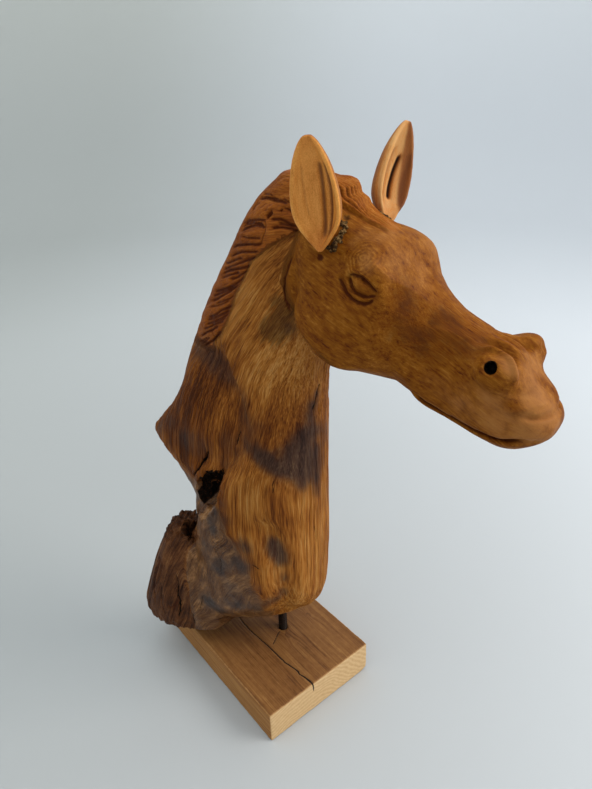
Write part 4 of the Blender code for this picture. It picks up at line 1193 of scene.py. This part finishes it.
def steel_finish(colours):
    """Dark, slightly rusty steel."""
    finish = Finish("dark_steel")
    blot = finish.cloud(finish.place(), 260.0, detail=4.0, roughness=0.65)
    rust = finish.step(blot, 0.50, 0.66)
    finish.set("Metallic", (0.40 - rust * 0.3).clamped())
    steel = finish.blend(rust * 0.7, colours.steel, RUST_COLOUR)
    return finish.finished(steel, 0.50 + rust * 0.35, 0.15, swayed(0.0, (blot, 0.12)))


def board_finish(colours):
    """A sawn board: long grain on top, rings on the ends, two knots, worn edges and a painted shadow of
    the horse on its top.
    """
    finish = Finish("board_wood")
    grain = finish.mark("grain", "Vector")
    noises = finish.noises(grain, BOARD_NOISES)
    fibre, thread, spot = noises.fibre, noises.thread, noises.spot
    mark = finish.marks("top end worn knot under dark")
    rings = finish.rings(grain, (0.0, 1.0, 1.0), (0.0, 26.0, 60.0), 24.0 * noises.warp, BOARD_RING_GAP)
    tone = swayed(0.50, (fibre, 1.2), (noises.band, 0.9), (thread, 0.6)) + rings * 0.05
    sides = finish.wood(swayed(tone, (noises.broad, 0.5)), "board side")
    # End grain, lighter partly as painted light
    ends = finish.wood(swayed(0.55 + rings * 0.10, (spot, 0.5), (thread, 0.5)), "board end")
    tops = finish.wood(swayed(tone, (spot, 0.6)), "board top")
    wood = finish.blend(mark.top, finish.blend(mark.end, sides, ends), tops)
    worn = finish.ragged(mark.worn, 0.35, 0.85, (spot, 0.9))
    wood = finish.blend(worn * 0.55, wood, WORN_COLOUR)
    wood = finish.blend(mark.knot * 0.75, wood, KNOT_COLOUR)
    # Painted shadow of the horse on the board's top
    shade = finish.ragged(mark.under, 0.1, 1.0, (spot, 0.4))
    wood = finish.tint(shade * 0.45, wood, UNDER_SHADOW_TINT)
    # Painted shade inside the board's crack and split
    wood = finish.blend(finish.step(mark.dark, 0.2, 0.6), wood, colours.rot)
    height = swayed(0.0, (fibre, 0.30), (thread, 0.20), (spot, mark.end * 0.3))
    return finish.finished(wood, swayed(0.58, (fibre, 0.2)) + mark.end * 0.10, 0.22, height)


def carve_board(thing):
    """Worn edges, saw marks, the long crack and the knots, and the marks for the finish."""
    skin = Skin(thing)
    turn = np.array(Matrix.Rotation(BOARD_TURN, 3, "Z"))
    local = (skin.place * MM + np.array(CARVING_ORIGIN)) @ turn / MM
    normal = skin.normal @ turn
    along, across, height = local.T
    from_end = BOARD_HALF[0] - np.abs(along)
    from_side = BOARD_HALF[1] - np.abs(across)
    from_top = BOARD_TOP / MM - height
    closeness = np.sort(np.column_stack((from_end, from_side, from_top, height)), axis=1)
    edge = bell(closeness[:, 1], 1.6)
    skin.lift -= edge * np.clip(0.20 + 0.45 * noise(local, 31, 8.0), 0.0, 1.2)
    skin.lift += noise(local, 32, (60.0, 6.0, 6.0), 2) * 0.10
    face_up = ramp(normal[:, 2], 0.4, 0.8)
    flat = local[:, :2] + 0.5 * noise(local, 34, 6.0, 1)[:, None]
    long_crack, place = line_distance(flat, BOARD_CRACK)
    crack = bell(long_crack, 0.75 - 0.3 * place) * ramp(-place, -1.0, -0.8)
    on_end = ramp(normal[:, 0], 0.4, 0.7) * ramp(height, 24, 31)
    skin.lift -= crack * face_up * 1.6
    # Painted shade inside the board's crack
    skin.raise_mark("dark", crack * np.maximum(ramp(from_top, 1.5, 0.2), on_end))
    skin.cut(flat, [BOARD_SPLIT], face_up, "dark")
    knots = np.zeros(len(along))
    for (knot_along, knot_across), radius in BOARD_KNOTS:
        reach = np.hypot(along - knot_along, (across - knot_across) * 1.5)
        ring = 0.60 + 0.40 * np.cos(reach * 1.9)
        knots = np.maximum(knots, ring * (1 - ramp(reach, radius * 0.7, radius * 1.4)))
        local[:, 1] += 4.0 * bell(reach, 11.0) * np.sign(across - knot_across)
    skin.marks["top"] = face_up
    skin.marks["end"] = ramp(np.abs(normal[:, 0]), 0.55, 0.8)
    skin.marks["knot"] = knots * face_up
    skin.marks["worn"] = edge
    # Painted shadow of the horse on the board's top
    skin.marks["under"] = face_up * np.exp(-(np.hypot(along + 25, across - 5) / 62.0) ** 4)
    skin.store("base_board", local)


def add_ring(bm, reaches, height):
    """A level ring of points round the Z axis, one for each distance from it."""
    angles = [math.tau * index / len(reaches) for index in range(len(reaches))]
    return [bm.verts.new((reach * math.cos(angle), reach * math.sin(angle), height))
            for reach, angle in zip(reaches, angles)]


def join_rings(bm, low, high):
    """Faces that look away from the axis if the second ring is above the first."""
    for index in range(len(low)):
        following = (index + 1) % len(low)
        bm.faces.new((low[index], low[following], high[following], high[index]))


def thread_mesh(length, radius, pitch):
    """A threaded rod, standing on its lower end."""
    rows = int(length / pitch * THREAD_STEPS_A_TURN)
    bm = bmesh.new()
    rings = []
    for row in range(rows + 1):
        height = length * row / rows
        reaches = []
        for index in range(THREAD_SIDES):
            share = (height / pitch - index / THREAD_SIDES) % 1.0
            crest = 1 - abs(2 * share - 1)
            reaches.append(radius - THREAD_DEPTH * pitch * (1 - min(1.0, crest * THREAD_FLANK)))
        rings.append(add_ring(bm, reaches, height))
    for low, high in zip(rings, rings[1:]):
        join_rings(bm, low, high)
    bm.faces.new(list(reversed(rings[0])))
    bm.faces.new(rings[-1])
    return mesh_of(bm, "threaded_rod")


def lump_places(tree, line, source):
    """Places for lumps of paste along the corner below an ear."""
    for start, end in zip(line, line[1:]):
        for step in range(LUMPS_A_STRETCH):
            place = Vector(start).lerp(Vector(end), (step + source.random()) / LUMPS_A_STRETCH)
            place += Vector([source.uniform(*LUMP_SPREAD) for _ in range(3)])
            found, normal = tree.find_nearest(CARVING_ORIGIN + place * MM)[:2]
            yield found + normal * source.uniform(*LUMP_LIFT) * MM


class CARVING_OT_horse(bpy.types.Operator):
    """Carve the horse's head, neck and trunk over its solid"""

    bl_idname = "carving.horse"
    bl_label = "Carve Horse Head"

    def execute(self, context):
        sizes = context.scene.carving_sizes
        horse = fine_copy("horse_head", "carved_horse", sizes.skin, HORSE_ROUNDS)
        carve_horse(horse, sizes)
        thin_to(horse, sizes.horse_triangles, "horse_head")
        horse.data.materials.append(horse_finish(context.scene.carving_colours))
        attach(horse, "root")
        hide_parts("horse_head")
        return {"FINISHED"}


class CARVING_OT_ears(bpy.types.Operator):
    """Carve both ears over their solids"""

    bl_idname = "carving.ears"
    bl_label = "Carve Ears"

    def execute(self, context):
        sizes = context.scene.carving_sizes
        wood = ear_finish(context.scene.carving_colours)
        for node, name in (("right_ear", "carved_right_ear"), ("left_ear", "carved_left_ear")):
            ear = fine_copy(node, name, sizes.ear_skin, EAR_ROUNDS, sharp_edges=0.0)
            carve_ear(ear, node)
            thin_to(ear, EAR_TRIANGLES, node)
            ear.data.materials.append(wood)
            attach(ear, "root")
            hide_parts(node)
        return {"FINISHED"}


class CARVING_OT_paste(bpy.types.Operator):
    """Press glue and sawdust into the corners at the ears' feet"""

    bl_idname = "carving.paste"
    bl_label = "Add Glue and Sawdust"

    def execute(self, context):
        source = random.Random(9)
        graph = context.evaluated_depsgraph_get()
        tree = BVHTree.FromObject(bpy.data.objects["carved_horse"], graph)
        finish = paste_finish()
        for node, line in PASTE_LINES.items():
            name = f"paste_{node}"
            bm = bmesh.new()
            for place in lump_places(tree, line, source):
                shape = [source.uniform(*LUMP_STRETCH) for _ in range(3)]
                lump = Matrix.Translation(place) @ Matrix.Diagonal((*shape, 1.0))
                radius = source.uniform(*LUMP_RADII) * MM
                bmesh.ops.create_icosphere(bm, subdivisions=2, radius=radius, matrix=lump)
            piece = even_skin(add_object(name, mesh_of(bm, name)), PASTE_VOXEL, PASTE_ROUNDS)
            thin_to(piece, PASTE_TRIANGLES)
            piece.data.materials.append(finish)
            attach(piece, "root")
        return {"FINISHED"}


class CARVING_OT_rod(bpy.types.Operator):
    """Cut the thread on the rod that carries the horse"""

    bl_idname = "carving.rod"
    bl_label = "Thread Rod"

    def execute(self, context):
        sizes = context.scene.carving_sizes
        radius = (ROD_HIGH.x - ROD_LOW.x) / 2
        mesh = thread_mesh(ROD_HIGH.z - ROD_LOW.z, radius, sizes.thread_pitch)
        mesh.transform(Matrix.Translation((ROD_AXIS.x, ROD_AXIS.y, ROD_LOW.z)))
        rod = add_object("threaded_rod", mesh)
        mesh.shade_smooth()
        mesh.set_sharp_from_angle(angle=THREAD_SHARP_ANGLE)
        mesh.materials.append(steel_finish(context.scene.carving_colours))
        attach(rod, "root")
        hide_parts("support_rod")
        return {"FINISHED"}


class CARVING_OT_board(bpy.types.Operator):
    """Wear the edges of the board, crack it and give it its grain"""

    bl_idname = "carving.board"
    bl_label = "Finish Board"

    def execute(self, context):
        sizes = context.scene.carving_sizes
        board = fine_copy("base_board", "worn_board", sizes.board_skin, BOARD_ROUNDS)
        carve_board(board)
        thin_to(board, BOARD_TRIANGLES, "base_board")
        board.data.materials.append(board_finish(context.scene.carving_colours))
        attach(board, "root")
        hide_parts("base_board")
        return {"FINISHED"}


def add_camera():
    """Look from where the photo was taken."""
    camera = bpy.data.cameras.new("camera")
    camera.lens = CAMERA_LENS
    camera.sensor_width = CAMERA_SENSOR
    camera.clip_start = 0.01
    thing = add_object("camera", camera)
    forward = Vector(CAMERA_FORWARD).normalized()
    right = Vector(CAMERA_RIGHT).normalized()
    turn = Matrix((right, right.cross(forward), -forward)).transposed().to_4x4()
    thing.matrix_world = Matrix.Translation(CAMERA_PLACE) @ turn
    bpy.context.scene.camera = thing


def add_light(name, place, size, power, colour):
    """A round light that looks at the carving."""
    light = bpy.data.lights.new(name, "AREA")
    light.shape = "DISK"
    light.size = size
    light.energy = power
    light.color = colour
    thing = add_object(name, light)
    thing.location = place
    thing.rotation_mode = "QUATERNION"
    thing.rotation_quaternion = (Vector(LIGHT_AIM) - Vector(place)).to_track_quat("-Z", "Y")


def floor_mesh():
    """A flat floor that curves up into a low wall far away all round."""
    profile = [(reach, 0.0) for reach in FLOOR_RINGS]
    for step in range(1, BEND_STEPS + 1):
        angle = math.pi / 2 * step / BEND_STEPS
        reach = FLOOR_RINGS[-1] + BEND_RADIUS * math.sin(angle)
        profile.append((reach, BEND_RADIUS * (1 - math.cos(angle))))
    profile.append((WALL_REACH, WALL_TOP))
    bm = bmesh.new()
    rings = [add_ring(bm, [reach] * FLOOR_SIDES, height) for reach, height in profile]
    bm.faces.new(rings[0])
    for inner, outer in zip(rings, rings[1:]):
        join_rings(bm, outer, inner)
    mesh = mesh_of(bm, "studio_floor")
    mesh.shade_smooth()
    return mesh


def floor_finish(colours):
    """A pale floor with painted shade: a little darker close to the board, on the floor and low on the
    wall, and to the viewer's left.
    """
    finish = Finish("pale_floor")
    place = finish.place()
    pale = finish.tint(finish.cloud(place, 3.0, detail=3.0) * 0.05, colours.floor, (0.8, 0.82, 0.84))
    # Painted shade on the floor and low on the wall
    low = finish.step(finish.part_of(place, "Z"), 1.5, 0.2)
    pale = finish.tint(low, pale, (0.77, 0.78, 0.80))
    # Painted shade round the board
    near = finish.step(finish.radius(place), 1.3, 0.2)
    pale = finish.tint(near, pale, (0.76, 0.76, 0.75))
    # Painted shade to the viewer's left, away from the window light
    leftwards = finish.part_of(place, "X") * -0.78 + finish.part_of(place, "Y") * -0.63
    left = finish.step(leftwards, -0.9, 1.1)
    finish.set("Base Color", finish.tint(left, pale, (0.70, 0.70, 0.65)))
    finish.set("Roughness", 0.75)
    finish.set("Specular IOR Level", 0.2)
    return finish.material


class CARVING_OT_stage(bpy.types.Operator):
    """Set up the pale floor, the soft lights and the camera"""

    bl_idname = "carving.stage"
    bl_label = "Set Up Studio"

    def execute(self, context):
        floor = add_object("studio_floor", floor_mesh())
        floor.data.materials.append(floor_finish(context.scene.carving_colours))
        context.scene.view_settings.view_transform = "Standard"
        world = bpy.data.worlds.new("studio")
        context.scene.world = world
        world.use_nodes = True
        background = world.node_tree.nodes["Background"]
        background.inputs["Color"].default_value = (*SKY_COLOUR, 1.0)
        background.inputs["Strength"].default_value = SKY_STRENGTH
        for light in LIGHTS:
            add_light(*light)
        add_camera()
        return {"FINISHED"}


class CARVING_PT_panel(bpy.types.Panel):
    """Steps that build the carved horse head"""

    bl_idname = "CARVING_PT_panel"
    bl_label = "Carved Horse Head"
    bl_space_type = "VIEW_3D"
    bl_region_type = "UI"
    bl_category = "Carving"

    def draw(self, context):
        for operator in OPERATORS:
            self.layout.operator(operator.bl_idname)
        for group in (context.scene.carving_sizes, context.scene.carving_colours):
            for name in group.__annotations__:
                self.layout.prop(group, name)


OPERATORS = (CARVING_OT_stage, CARVING_OT_horse, CARVING_OT_ears, CARVING_OT_paste, CARVING_OT_rod,
             CARVING_OT_board)
CLASSES = (CarvingSizes, CarvingColours, *OPERATORS, CARVING_PT_panel)


def register():
    for cls in CLASSES:
        bpy.utils.register_class(cls)
    bpy.types.Scene.carving_sizes = PointerProperty(type=CarvingSizes)
    bpy.types.Scene.carving_colours = PointerProperty(type=CarvingColours)


def unregister():
    del bpy.types.Scene.carving_colours
    del bpy.types.Scene.carving_sizes
    for cls in reversed(CLASSES):
        bpy.utils.unregister_class(cls)


def main():
    """Build the scene."""
    register()
    bpy.ops.carving.stage()
    bpy.ops.carving.horse()
    bpy.ops.carving.ears()
    bpy.ops.carving.paste()
    bpy.ops.carving.rod()
    bpy.ops.carving.board()


if __name__ == "__main__":
    main()
